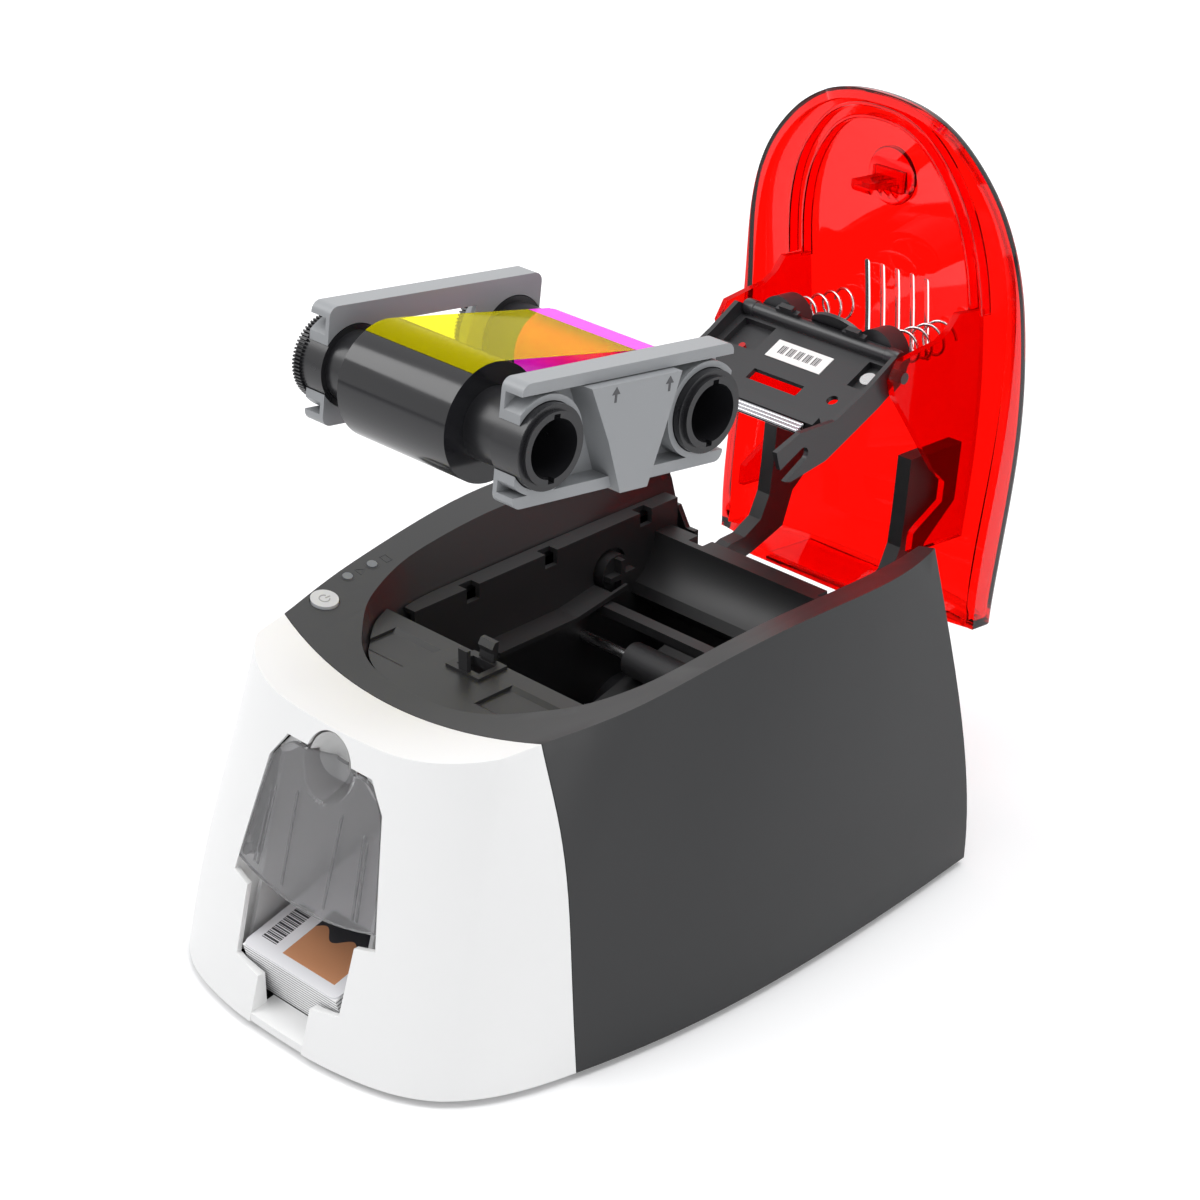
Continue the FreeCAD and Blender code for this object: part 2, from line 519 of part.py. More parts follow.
boss_bore = rod("cover_boss_bore", "x", (-pin_end, pin_y, s.cover_pin_height), s.cover_pin_radius + s.bore_gap,
                pin_end * 2)
front_cut = cut("front_window", common("front_part", skin_open, ahead_of_seam), window, scoop_bore)
front_shell = fuse("front_with_sills", front_cut, common("sills_in_shell", sill, outer), hinge_boss)
node(cut("front_bored", front_shell, boss_bore), "front_shell")

# rear moulding with the cut-out for the tail of the lid and the hinge
tail_notch = prism("tail_notch", "XZ", [
    (-s.notch_half, s.notch_floor), (s.notch_half, s.notch_floor), (s.notch_top_half, s.notch_top),
    (s.notch_top_half, s.section_top), (-s.notch_top_half, s.section_top), (-s.notch_top_half, s.notch_top)],
    s.frame_rear, s.shell_rear - s.frame_rear + over)
hinge_notch = block("hinge_notch", (-s.hinge_notch_half, s.hinge_notch_half), (s.frame_rear, s.shell_rear + over),
                    (s.hinge_notch_floor, s.notch_floor + s.shell_wall))
button_bore = doc.addObject("Part::Ellipsoid", "button_bore")
inlet_bore = block("inlet_bore", (s.inlet_x - s.inlet_half, s.inlet_x + s.inlet_half),
                   (s.shell_rear - s.shell_wall * 2, s.shell_rear + over),
                   (s.inlet_z - s.inlet_half, s.inlet_z + s.inlet_half))
port_bore = block("port_bore", (s.port_x - s.port_half, s.port_x + s.port_half),
                  (s.shell_rear - s.shell_wall * 2, s.shell_rear + over),
                  (s.port_low, s.port_low + s.port_tall))
doc.removeObject("button_bore")


def oval(label, height, grow, low):
    """The oval of the power button as a short pillar."""
    item = doc.addObject("Part::Cylinder", label)
    bind(item, "Radius", s.button_long + grow)
    bind(item, "Height", height)
    return move(item, -s.button_x, -s.button_y, low)


BUTTON_LOW = s.mouth_height - s.button_deep
button_hole = oval("button_hole", s.section_top - BUTTON_LOW, s.button_gap, BUTTON_LOW - s.shell_wall)
lamp_holes = [rod("lamp_hole_%d" % i, "z", (-s.lamp_x, -y, s.mouth_height - s.button_deep), s.lamp_radius,
                  s.section_top - s.mouth_height + s.button_deep)
              for i, y in enumerate((s.lamp_one, s.lamp_two))]
rear_shell = cut("rear_moulding", skin_open, ahead_with_gap, tail_notch, hinge_notch, inlet_bore, port_bore,
                 button_hole, *lamp_holes)
node(rear_shell, "rear_shell")

# power button and lamps follow the dished surface
button_top = arched("button_dish", drop=-s.button_proud.value, **dish)
lamp_top = arched("lamp_dish", drop=-s.lamp_proud.value, **dish)
node(cut("button_crowned", oval("button_stem", s.section_top - BUTTON_LOW, ZERO, BUTTON_LOW), button_top),
     "power_button")
node(together("lamp_pair", *[
    cut("lamp_cut_%d" % i, rod("lamp_%d" % i, "z", (-s.lamp_x, -y, s.mouth_height - s.lamp_deep), s.lamp_radius,
                               s.section_top - s.mouth_height + s.lamp_deep), lamp_top)
    for i, y in enumerate((s.lamp_one, s.lamp_two))]), "status_lamps")

# ---- base tray and feet
tray_form = common("tray_form", hull("tray_hull", wall + s.tray_gap.value),
                   block("tray_slab", (-s.shell_half_width, s.shell_half_width), (-s.shell_front, s.shell_rear),
                         (0, s.tray_thick)))
tray_notch = block("tray_notch", (-s.slot_half, s.slot_half), (-s.shell_front - over, -s.path_front),
                   (-over, s.tray_thick + over))
node(cut("tray_notched", tray_form, tray_notch), "base_tray")
feet = [rod("foot_%s_%s" % (i, j), "z", (x, y, -s.foot_height), s.foot_radius, s.foot_height)
        for i, x in enumerate((-s.foot_side, s.foot_side)) for j, y in enumerate((-s.foot_front, s.foot_rear))]
node(together("feet", *feet), "rubber_feet")

# ---- rollers: their places on the card path
platen_at = (-(-s.platen_front), s.platen_height)
feed_off = s.feed_radius + s.roller_gap
transport_off = s.transport_radius + s.roller_gap
pinch_off = s.card_thick + s.roller_gap + s.pinch_radius
clean_off = s.card_thick + s.roller_gap + s.clean_radius
SHAFTS = {
    "feed": on_path(s.feed_at, -feed_off),
    "transport": on_path(s.transport_at, -transport_off),
    "pinch": on_path(s.transport_at, pinch_off),
    "clean": on_path(s.clean_at, clean_off),
    "platen": (s.platen_front, s.platen_height),
}
shaft_end = s.frame_half + s.frame_wall + s.shaft_overhang

def pushed(label, outline, low, high):
    item = doc.addObject("Part::Extrusion", label)
    item.Base = outline
    item.DirMode = "Custom"
    item.Dir = Z_AXIS
    item.Solid = True
    bind(item, "LengthFwd", high - low)
    return item


# ---- side frames with ledge, notches and shaft holes
frame_low = s.tray_thick
FRAME_OUTLINE = [
    (-s.frame_front, frame_low), (s.frame_rear, frame_low), (s.frame_rear, s.ledge_height - s.ledge_thick),
    (-s.frame_step, s.ledge_height - s.ledge_thick), (-s.frame_step, s.frame_nose_height),
    (-s.frame_front + s.frame_step, s.frame_nose_height), (-s.frame_front, s.frame_nose_height - s.frame_step)]


ledge_low = s.ledge_height - s.ledge_thick
ledge_room = pushed("ledge_room", mouth("ledge_outline", ledge_low.value, -taper * (
    s.mouth_height - ledge_low).value / steps - s.deck_gap.value, far), ledge_low, s.ledge_height)


def side_frame(side, label):
    sign = -1 if side == "left" else 1
    start = -(s.frame_half + s.frame_wall) if sign < 0 else s.frame_half
    plate = prism(label + "_plate", "YZ", FRAME_OUTLINE, start, s.frame_wall)
    inner_x, outer_x = s.frame_half * sign, s.ledge_half * sign
    low_x, high_x = (outer_x, inner_x) if sign < 0 else (inner_x, outer_x)
    ledge = common(label + "_ledge", ledge_room, block(
        label + "_ledge_form", (low_x, high_x), (-s.frame_step, s.frame_rear), (ledge_low, s.ledge_height)))
    shelf_x = -s.frame_half if sign < 0 else s.shelf_inner
    shelf = prism(label + "_shelf", "YZ", [
        (s.shelf_front, s.shelf_height - s.shelf_thick), (s.shelf_bend, s.shelf_height - s.shelf_thick),
        (s.shelf_rear, s.shelf_height + s.shelf_rise - s.shelf_thick), (s.shelf_rear, s.shelf_height + s.shelf_rise),
        (s.shelf_bend, s.shelf_height), (s.shelf_front, s.shelf_height)], shelf_x, s.frame_half - s.shelf_inner)
    tools = [rod("%s_%s_bore" % (label, key), "x", (start - over, y, z),
                 (s.platen_shaft if key == "platen" else s.shaft_radius) + s.bore_gap, s.frame_wall + over * 2)
             for key, (y, z) in SHAFTS.items()]
    for i, y in enumerate((s.ledge_notch_one, s.ledge_notch_two, s.ledge_notch_three)):
        notch_x = (-s.frame_half - s.ledge_notch_depth, -s.frame_half + over) if sign < 0 else (
            s.frame_half - over, s.frame_half + s.ledge_notch_depth)
        tools.append(block("%s_notch_%d" % (label, i), notch_x, (y, y + s.ledge_notch),
                           (s.ledge_height - s.ledge_thick * 3, s.ledge_height + over)))
    if side == "left":
        tools.append(rod(label + "_spindle_bore", "x", (start - over, s.spindle_front, s.spindle_height),
                         s.spindle_hole, s.frame_wall + over * 2))
        tools.append(rod(label + "_motor_bore", "x", (start - over, s.motor_front, s.motor_height),
                         s.motor_shaft * 2, s.frame_wall + over * 2))
        tools.append(rod(label + "_idler_bore", "x", (start - over, IDLER[0], IDLER[1]),
                         s.idler_pin, s.frame_wall + over * 2))
    return node(cut(label + "_bored", fuse(label + "_body", plate, ledge, shelf), *tools), label)


span_y, span_z = s.platen_front - s.motor_front, s.platen_height - s.motor_height
SPAN = Size("sqrt(%s * %s + %s * %s)" % (span_y.formula, span_y.formula, span_z.formula, span_z.formula),
            math.hypot(span_y.value, span_z.value))
idler_share = (s.pinion_radius + s.idler_radius) / SPAN
IDLER = (s.motor_front + span_y * idler_share, s.motor_height + span_z * idler_share)
platen_gear_radius = SPAN - s.pinion_radius - s.idler_radius * 2
side_frame("left", "left_frame")
side_frame("right", "right_frame")

# ---- rear cross wall: trough for the take-up film, hinge brackets
wall_form = prism("wall_form", "YZ", [
    (s.wall_front, s.tray_thick), (s.wall_rear, s.tray_thick), (s.wall_rear, s.wall_top),
    (s.wall_front, s.wall_top), (s.trough_front, s.trough_low), (s.wall_front, s.trough_toe)],
    -s.frame_half, s.frame_half * 2)
trough = rod("trough_bore", "x", (-s.frame_half - over, s.trough_y, s.trough_z), s.trough_radius,
             (s.frame_half + over) * 2)
bracket_out = s.arm_out + s.hinge_side_gap
brackets = []
for i, x in enumerate((s.arm_in - s.hinge_side_gap - s.bracket_wall, bracket_out)):
    eye = rod("bracket_eye_%d" % i, "x", (x, s.hinge_y, s.hinge_z), s.hinge_eye, s.bracket_wall)
    foot = block("bracket_foot_%d" % i, (x, x + s.bracket_wall), (s.wall_mid, s.hinge_y),
                 (s.hinge_z - s.hinge_eye, s.hinge_z + s.hinge_eye))
    brackets += [eye, foot]
arm_slot = block("arm_slot", (s.arm_in - s.hinge_side_gap, bracket_out), (s.wall_mid, s.wall_rear + over),
                 (s.hinge_z - s.hinge_eye * 2, s.wall_top + over))
rod_bore = rod("rod_bore", "x", (-s.shell_half_width, s.hinge_y, s.hinge_z), s.hinge_rod, s.shell_half_width * 2)
cross_wall = cut("cross_wall_bored",
                 fuse("cross_wall_body",
                      cut("wall_troughed", wall_form, trough, both("arm_slots", arm_slot)),
                      both("brackets_pair", fuse("brackets", *brackets))), rod_bore)
node(cross_wall, "rear_cross_wall")
rod_half = bracket_out + s.bracket_wall + s.hinge_rod_over
node(rod("hinge_rod", "x", (-rod_half, s.hinge_y, s.hinge_z), s.hinge_rod, rod_half * 2), "hinge_rod")
node(block("bridge", (-s.frame_half, s.frame_half), (s.bridge_y, s.bridge_y + s.bridge_deep),
           (s.shelf_height - s.bridge_tall, s.shelf_height)), "bay_bridge")

# ---- deck in front of the bay, inside the collar, with the latch
deck_grow = -(taper * (s.mouth_height - s.deck_height + s.deck_thick).value / steps) - s.deck_gap.value
deck_low = s.deck_height - s.deck_thick
deck_face = pushed("deck_form", mouth("deck_outline", deck_low.value, deck_grow, far), deck_low, s.deck_height)
deck_tail = block("deck_tail", (-s.shell_half_width, s.shell_half_width), (-s.deck_rear, s.shell_rear * 2),
                  (s.deck_height - s.deck_thick - over, s.deck_height + over))
latch_opening = block("latch_opening", (-s.latch_slot_half, s.latch_slot_half),
                      (-s.latch_slot_front, -s.latch_slot_rear), (s.mouth_floor - over, s.deck_height + over))
dips = [prism("dip_%d" % i, "YZ", [(-s.dip_front, s.deck_height), (-s.dip_rear, s.deck_height),
                                   (-s.dip_rear - s.dip_depth * 2, s.deck_height - s.dip_depth),
                                   (-s.dip_front + s.dip_depth * 2, s.deck_height - s.dip_depth)],
              x - s.dip_half, s.dip_half * 2) for i, x in enumerate((-s.dip_at, s.dip_at))]
skirt = block("deck_skirt", (-s.frame_half, s.frame_half), (-s.deck_rear - s.deck_thick, -s.deck_rear),
              (s.deck_height - s.deck_skirt, s.deck_height))
deck = cut("deck_cut", fuse("deck_skirted", cut("deck_front", deck_face, deck_tail), skirt), latch_opening, *dips)
node(deck, "bay_deck")
plate = block("latch_plate", (-s.latch_half, s.latch_half), (-s.latch_front, -s.latch_rear),
              (s.deck_height, s.deck_height + s.latch_plate))
tower = block("latch_tower", (-s.tower_half, s.tower_half), (-s.tower_front, -s.tower_back),
              (s.deck_height, s.deck_height + s.tower_tall))
latch_slot = block("latch_slot", (-s.latch_slot_half, s.latch_slot_half),
                   (-s.latch_slot_front, -s.latch_slot_rear), (s.deck_height - over, s.deck_height + over))
node(cut("latch_slotted", fuse("latch_body", plate, tower), latch_slot), "latch_base")
claw_low = s.deck_height + s.latch_plate + s.claw_gap
claw_top = claw_low + s.claw_tall
claw = prism("claw", "YZ", [
    (-s.claw_foot, claw_low), (-s.claw_foot + s.claw_thick, claw_low),
    (-s.claw_foot + s.claw_thick + s.claw_lean, claw_top), (-s.claw_foot + s.claw_lean, claw_top),
    (-s.claw_foot - s.claw_nose + s.claw_lean, claw_top - s.claw_nose_height / 2),
    (-s.claw_foot + s.claw_lean / 2, claw_top - s.claw_nose_height)], -s.claw_half, s.claw_half * 2)
node(claw, "latch_claw")

# ---- card path: guide tray, hopper walls and the stack of cards
guide = block("guide_plate", (-s.guide_half, s.guide_half), (0, s.guide_length),
              (-s.guide_gap - s.guide_thick, -s.guide_gap))
slots = []
platen_run = (s.platen_front + s.path_front) * lean_cos + (s.platen_height - s.path_height) * lean_sin
for key, run, half in (("feed", s.feed_at, s.feed_half), ("transport", s.transport_at, s.transport_half),
                       ("platen", platen_run, s.platen_half)):
    slots.append(block("guide_slot_" + key, (-half - s.cover_gap, half + s.cover_gap),
                       (run - s.guide_slot, run + s.guide_slot), (-over, over)))
node(cut("guide_slotted", guide, *slots), "card_guide", "path")
front_line = s.shell_front - s.shell_wall - s.hopper_clear
hopper = prism("hopper_side", "YZ", [
    (-front_line + s.tray_thick * front_slope, s.tray_thick), (-s.hopper_rear, s.tray_thick),
    (-s.hopper_rear, s.hopper_top), (-front_line + s.hopper_top * front_slope, s.hopper_top)],
    s.window_half, s.hopper_wall_out - s.window_half)
feed_y, feed_z = on_path(s.feed_at, -(s.feed_radius + s.roller_gap))
node(pair("hopper_pair", cut("hopper_bored", hopper, rod(
    "hopper_bore", "x", (s.window_half - over, feed_y, feed_z), s.shaft_radius + s.bore_gap, over * 3))),
    "hopper_walls")
cards = []
for i in range(27):
    card = block("card_%d" % i, (-s.card_width / 2, s.card_width / 2), (0, s.card_length),
                 (s.card_pitch * i, s.card_pitch * i + s.card_thick))
    cards.append(card)
top_card = cards.pop()


def card_edges(card):
    return rounded(card.Label + "_round", card, s.card_corner, lambda e: along(e, Z_AXIS))


node(together("stack", *cards), "card_stack", "path")
node(card_edges(top_card), "printed_card", "path")

# ---- rollers on their shafts


def roller(label, key, radius, half, shaft, gear=None):
    """Rubber sleeve and steel shaft; the sleeve is bored to the shaft."""
    y, z = SHAFTS[key]
    sleeve = cut(label + "_sleeve", rod(label + "_rubber", "x", (-half, y, z), radius, half * 2),
                 rod(label + "_core", "x", (-half - over, y, z), shaft, (half + over) * 2))
    node(sleeve, label + "_roller")
    reach = shaft_end + (s.gear_reach if gear else ZERO)
    bar = rod(label + "_bar", "x", (-reach, y, z), shaft, reach + shaft_end)
    if gear:
        disc = rod(label + "_gear_disc", "x", (-(s.frame_half + s.frame_wall + s.gear_off + s.gear_wall), y, z),
                   gear - s.gear_mesh_gap, s.gear_wall)
        bar = fuse(label + "_bar_gear", bar, disc)
    node(bar, label + "_shaft")


roller("feed", "feed", s.feed_radius, s.feed_half, s.shaft_radius)
roller("transport", "transport", s.transport_radius, s.transport_half, s.shaft_radius)
roller("pinch", "pinch", s.pinch_radius, s.pinch_half, s.shaft_radius)
roller("clean", "clean", s.clean_radius, s.clean_half, s.shaft_radius)
roller("platen", "platen", s.platen_radius, s.platen_half, s.platen_shaft, platen_gear_radius)

# ---- motor, pinion and idler on the left frame, spindle for the take-up core
gear_x = -(s.frame_half + s.frame_wall + s.gear_off + s.gear_wall)
motor = rod("motor_can", "x", (-s.frame_half, s.motor_front, s.motor_height), s.motor_radius, s.motor_length)
node(motor, "drive_motor")
pinion = fuse("pinion_body",
              rod("pinion_disc", "x", (gear_x, s.motor_front, s.motor_height), s.pinion_radius - s.gear_mesh_gap,
                  s.gear_wall),
              rod("pinion_shaft", "x", (gear_x, s.motor_front, s.motor_height), s.motor_shaft,
                  -gear_x - s.frame_half - s.bore_gap))
node(pinion, "motor_pinion")
idler = cut("idler_bored", rod("idler_disc", "x", (gear_x, IDLER[0], IDLER[1]), s.idler_radius - s.gear_mesh_gap,
                               s.gear_wall),
            rod("idler_hole", "x", (gear_x - over, IDLER[0], IDLER[1]), s.idler_pin + s.bore_gap,
                s.gear_wall + over * 2))
node(idler, "idler_gear")
node(rod("idler_axle", "x", (gear_x, IDLER[0], IDLER[1]), s.idler_pin, -gear_x - s.frame_half), "idler_axle")
spindle_x = -(s.frame_half + s.spindle_out)
spindle = rod("spindle_hub", "x", (spindle_x, s.spindle_front, s.spindle_height), s.spindle_radius,
              s.spindle_out + s.spindle_in)
spindle_cross = [block("spindle_bar_%d" % i,
                       (-(s.frame_half - s.spindle_in), -(s.frame_half - s.spindle_in * 2)),
                       (s.spindle_front - dy, s.spindle_front + dy), (s.spindle_height - dz, s.spindle_height + dz))
                 for i, (dy, dz) in enumerate(((s.spindle_radius * 0.9, s.spindle_tooth / 2),
                                               (s.spindle_tooth / 2, s.spindle_radius * 0.9)))]
node(fuse("spindle_body", spindle, *spindle_cross), "takeup_spindle")
spindle_cup = cut("spindle_cup_bored",
                  rod("spindle_cup_out", "x", (spindle_x - s.spindle_boss, s.spindle_front, s.spindle_height),
                      s.spindle_hole + s.spindle_boss, s.spindle_boss + s.spindle_out - s.frame_wall),
                  rod("spindle_cup_in", "x", (spindle_x - s.bore_gap * 4, s.spindle_front, s.spindle_height),
                      s.spindle_radius + s.bore_gap, s.spindle_out + over))
node(spindle_cup, "spindle_bearing")

# ---- hopper cover: follows the front of the shell, finger scoop at the top, pins at the lower corners
cover_band = cut("cover_band", hull("cover_outer", 0.0), hull("cover_inner", s.cover_wall.value))
cover_shape = common("cover_shape", cover_band, prism("cover_outline", "XZ", cover_outline,
                                                      -(s.shell_front + over),
                                                      s.shell_front + over - s.seam_front))
scoop_front = -(s.shell_front - s.scoop_height * front_slope) - s.cover_wall
scoop_out = rod("scoop_out", "y", (0, scoop_front - over, s.scoop_height), s.scoop_radius + s.scoop_wall,
                s.scoop_reach + over + s.cover_wall)
scoop_in = rod("scoop_in", "y", (0, scoop_front - over * 2, s.scoop_height), s.scoop_radius,
               s.scoop_reach + over * 2 + s.cover_wall - s.scoop_wall)
scoop_cup = common("scoop_cup", scoop_out, outer)
ear_x = s.cover_low_half - s.cover_ear_wall
cover_ear = block("cover_ear", (ear_x - s.cover_gap, s.cover_low_half - s.cover_gap),
                  (pin_y - s.cover_pin_depth + s.cover_gap, pin_y + s.cover_pin_radius),
                  (s.cover_pin_height - s.cover_boss + s.cover_gap, s.cover_pin_height + s.cover_pin_radius))
cover_pin = rod("cover_pin", "x", (ear_x, pin_y, s.cover_pin_height), s.cover_pin_radius,
                s.cover_ear_wall + s.cover_pin_length)
ears = common("cover_ears_in", both("cover_ears", fuse("cover_ear_pin", cover_ear, cover_pin)), outer)
ribs = []
for i, x in enumerate((s.cover_rib_inner, s.cover_rib_outer - s.cover_rib_pair, s.cover_rib_outer)):
    ribs.append(block("cover_rib_%d" % i, (x, x + s.cover_rib), (-s.shell_front, -s.seam_front),
                      (s.cover_rib_low, s.cover_rib_top - (x - s.cover_rib_inner) / 3)))
rib_band = cut("rib_band", hull("rib_outer", -s.cover_rib_out.value), hull("rib_inner", s.cover_rib.value))
rib_set = common("cover_ribs", rib_band, both("rib_pair", fuse("ribs", *ribs)))
hopper_cover = cut("cover_scooped", fuse("cover_body", cover_shape, scoop_cup, ears, rib_set), scoop_in)
node(hopper_cover, "hopper_cover")

# ---- lid, drawn closed: crowned skin with a deep edge, tail wall, vents, hook, ears and hinge arms
crown = dict(shares=CROWN_SHARES, height=s.crown_height.value, bulge=-s.crown_drop.value *
             (s.shell_half_width / s.mouth_half_width).value ** 2, reach_front=s.mouth_front.value,
             reach_rear=s.shell_rear.value, half=s.shell_half_width.value,
             roof=s.crown_height.value + s.section_top.value)
above_crown = arched("above_crown", drop=0.0, **crown)
above_crown_wall = arched("above_crown_wall", drop=s.lid_wall.value, **crown)
lid_seat = arched("lid_seat", drop=-s.lid_gap.value, **dish)


lid_low = s.mouth_floor - s.collar_depth
lid_end = s.hinge_y + s.lid_tail_over
lid_high = s.crown_height + over
lid_block = pushed("lid_block", mouth("lid_outline", lid_low.value, s.lid_over.value, lid_end.value),
                   lid_low, lid_high)
lid_hollow = pushed("lid_hollow", mouth("lid_inline", lid_low.value, (s.lid_over - s.lid_wall).value,
                                        (lid_end - s.lid_wall).value), lid_low, lid_high)
lid_outer = common("lid_outer", cut("lid_crowned", lid_block, above_crown), lid_seat)
cavity = cut("lid_cavity", lid_hollow, above_crown_wall)
doc.recompute()
crest = s.crown_height.value * min(share for place, share in CROWN_SHARES) - s.crown_drop.value


def on_crown_edge(edge):
    box = edge.BoundBox
    return edge.Length > s.mouth_half_width.value and box.ZMin > s.dish_height.value * 0.97 and any(
        face.Surface.TypeId != "Part::GeomPlane" and face.BoundBox.ZLength < s.crown_height.value / 4
        for face in lid_outer.Shape.ancestorsOfType(edge, Part.Face)) and box.ZMax > s.seam_height.value


lid_skin = cut("lid_skin", lid_outer, cavity)
tail = block("lid_tail", (-s.lid_tail_half, s.lid_tail_half), (lid_end - s.lid_tail_wall, lid_end),
             (s.lid_tail_bottom, s.dish_height + s.dish_depth / 3))
vents = [block("vent_%d" % i, (-s.vent_half, s.vent_half),
               (s.vent_first + s.vent_pitch * i, s.vent_first + s.vent_pitch * i + s.vent_wide),
               (s.seam_height + over, lid_high)) for i in range(5)]
node(cut("lid_vented", fuse("lid_tailed", lid_skin, tail), *vents), "lid_cover", "lid")
hook = prism("hook", "YZ", [
    (-s.hook_front, s.hook_tip), (-s.hook_front + s.hook_thick, s.hook_tip),
    (-s.hook_front + s.hook_thick + s.hook_barb, s.hook_tip + s.hook_barb_tall / 2),
    (-s.hook_front + s.hook_thick, s.hook_tip + s.hook_barb_tall),
    (-s.hook_front + s.hook_thick, lid_high), (-s.hook_front, lid_high)], -s.hook_half, s.hook_half * 2)
hook_root = block("hook_root", (-s.hook_root_half, s.hook_root_half),
                  (-s.hook_front - s.hook_thick, -s.hook_front + s.hook_thick * 2),
                  (s.crown_height * 0.887 - s.hook_root_depth / 2, lid_high))
node(common("hook_in_lid", fuse("hook_body", hook, hook_root), cavity), "lid_hook", "lid")
ear = prism("ear", "YZ", [(s.ear_front + s.ear_span * a, s.ear_low + s.ear_rise * b) for a, b in EAR_SHARES],
            s.ear_in, s.ear_wall)
ear_bore = rod("ear_bore", "x", (-s.shell_half_width, s.pivot_y, s.pivot_z), s.pivot_radius + s.bore_gap,
               s.shell_half_width * 2)
ears_low = block("ears_below", (-s.shell_half_width, s.shell_half_width), (-over, s.shell_rear),
                 (ZERO, lid_low))
lid_room = fuse("lid_room", cavity, ears_low)
lid_ears = common("lid_ears_in", both("lid_ears_pair", ear), lid_room)
node(cut("lid_ears_bored", lid_ears, ear_bore), "lid_ears", "lid")
arm = prism("arm", "YZ", [(s.arm_front + s.arm_span * a, s.arm_low + s.arm_rise * b) for a, b in ARM_SHARES],
            s.arm_in, s.arm_out - s.arm_in)
arm_eye = rod("arm_eye", "x", (s.arm_in, s.hinge_y, s.hinge_z), s.hinge_eye, s.arm_out - s.arm_in)
arm_bore = rod("arm_bore", "x", (-s.shell_half_width, s.hinge_y, s.hinge_z), s.hinge_rod + s.bore_gap,
               s.shell_half_width * 2)
arm_neck = prism("arm_neck", "YZ", [
    (s.arm_front + s.arm_span, s.arm_low), (s.hinge_y - s.hinge_eye, s.hinge_z),
    (s.hinge_y + s.hinge_eye, s.hinge_z), (s.arm_front + s.arm_span * 1.123, s.arm_low + s.arm_rise * 0.252)],
    s.arm_in, s.arm_out - s.arm_in)
arms = common("arms_in", both("arms_pair", fuse("arm_body", arm, arm_neck, arm_eye)), lid_room)
node(cut("arms_bored", arms, arm_bore), "hinge_arms", "lid")

# springs between the lid and the print head, ends open
spring_low = s.spring_low - s.spring_cup_tall
spring_high = s.crown_height * 0.9806 - s.lid_wall - s.spring_wire * 2
helix = doc.addObject("Part::Helix", "spring_path")
bind(helix, "Radius", s.spring_radius)
bind(helix, "Height", spring_high - spring_low)
bind(helix, "Pitch", (spring_high - spring_low) / s.spring_turns)
coil_round = doc.addObject("Part::Circle", "spring_round")
bind(coil_round, "Radius", s.spring_wire / 2)
coil_round.Placement = FreeCAD.Placement(FreeCAD.Vector(), FreeCAD.Rotation(X_AXIS, 90))
bind(coil_round, "Placement.Base.x", s.spring_radius)
coil = doc.addObject("Part::Sweep", "spring_coil")
coil.Sections = [coil_round]
coil.Spine = (helix, [])
coil.Solid = True
coil.Frenet = True
spring = together("spring_right", coil)
move(spring, s.spring_x, s.spring_y, spring_low)
node(pair("springs_pair", spring), "head_springs", "lid")

# ---- print head: plate with pockets, side arms with forks over the platen shaft, print bar and heat sink
head_cos, head_sin = cosine(s.head_lean), sine(s.head_lean)


def on_head(y, z):
    """A point of the body in the frame of the closed head: along its slope, and behind its plate."""
    dy, dz = y - s.head_y, z - s.head_z
    return (dy * head_cos - dz * head_sin, dy * head_sin + dz * head_cos)


platen_u, platen_v = on_head(s.platen_front, s.platen_height)
pivot_u, pivot_v = on_head(s.pivot_y, s.pivot_z)
head_plate = block("head_plate", (-s.head_half, s.head_half), (0, s.head_length), (0, s.head_plate))
flange = block("head_flange", (-s.print_flange, s.print_flange), (s.head_length - s.head_plate, s.print_start),
               (-s.print_high, s.head_plate))
arm_side = prism("head_arm", "YZ", [(s.head_arm_length * a, -(s.head_arm_deep * b)) for a, b in HEAD_ARM_SHARES],
                 s.head_half, s.head_arm_wall)
fork_radius = s.platen_shaft + s.fork_gap
fork_round = rod("fork_round", "x", (s.head_half - over, platen_u, platen_v), fork_radius, over * 2)
fork_end = s.head_arm_length + over
fork_slot = prism("fork_slot", "YZ", [
    (platen_u, platen_v - fork_radius), (fork_end, platen_v - fork_radius),
    (fork_end, platen_v + fork_radius + s.fork_flare), (platen_u, platen_v + fork_radius)],
    s.head_half - over, over * 2)
arm_cut = cut("head_arm_forked", arm_side, fork_round, fork_slot)
pockets, pocket_cuts = [], []
for i, (low, high) in enumerate(((-s.pocket_out, -s.pocket_in), (s.pocket_right_in, s.pocket_out))):
    pockets.append(block("pocket_%d" % i, (low - s.pocket_wall, high + s.pocket_wall),
                         (s.pocket_start - s.pocket_wall, s.pocket_start + s.pocket_long + s.pocket_wall),
                         (0, s.pocket_deep + s.pocket_wall)))
    pocket_cuts.append(block("pocket_cut_%d" % i, (low, high), (s.pocket_start, s.pocket_start + s.pocket_long),
                             (-over, s.pocket_deep)))
slot_hole = block("head_slot", (-s.window_slot_half, s.window_slot_half), (s.window_slot_start, s.window_slot_end),
                  (-over, over))
round_hole = rod("head_hole", "z", (s.head_hole_x, s.head_hole_u, -over), s.head_hole_radius, over * 2)
carrier = cut("head_carrier_cut", fuse("head_carrier_body", head_plate, flange, both("head_arms", arm_cut),
                                       *pockets), slot_hole, round_hole, *pocket_cuts)
node(carrier, "head_carrier", "head")
node(block("print_bar", (-s.print_half, s.print_half), (s.print_start, platen_u - s.platen_radius - s.print_gap),
           (-s.print_high, -s.print_low)), "print_bar", "head")
fin_pitch = s.print_half * 2 / s.sink_fins
fins = [block("fin_%d" % i, (-s.print_half + fin_pitch * i, -s.print_half + fin_pitch * i + s.sink_fin),
              (s.sink_start, s.sink_end), (s.head_plate, s.head_plate + s.sink_deep)) for i in range(8)]
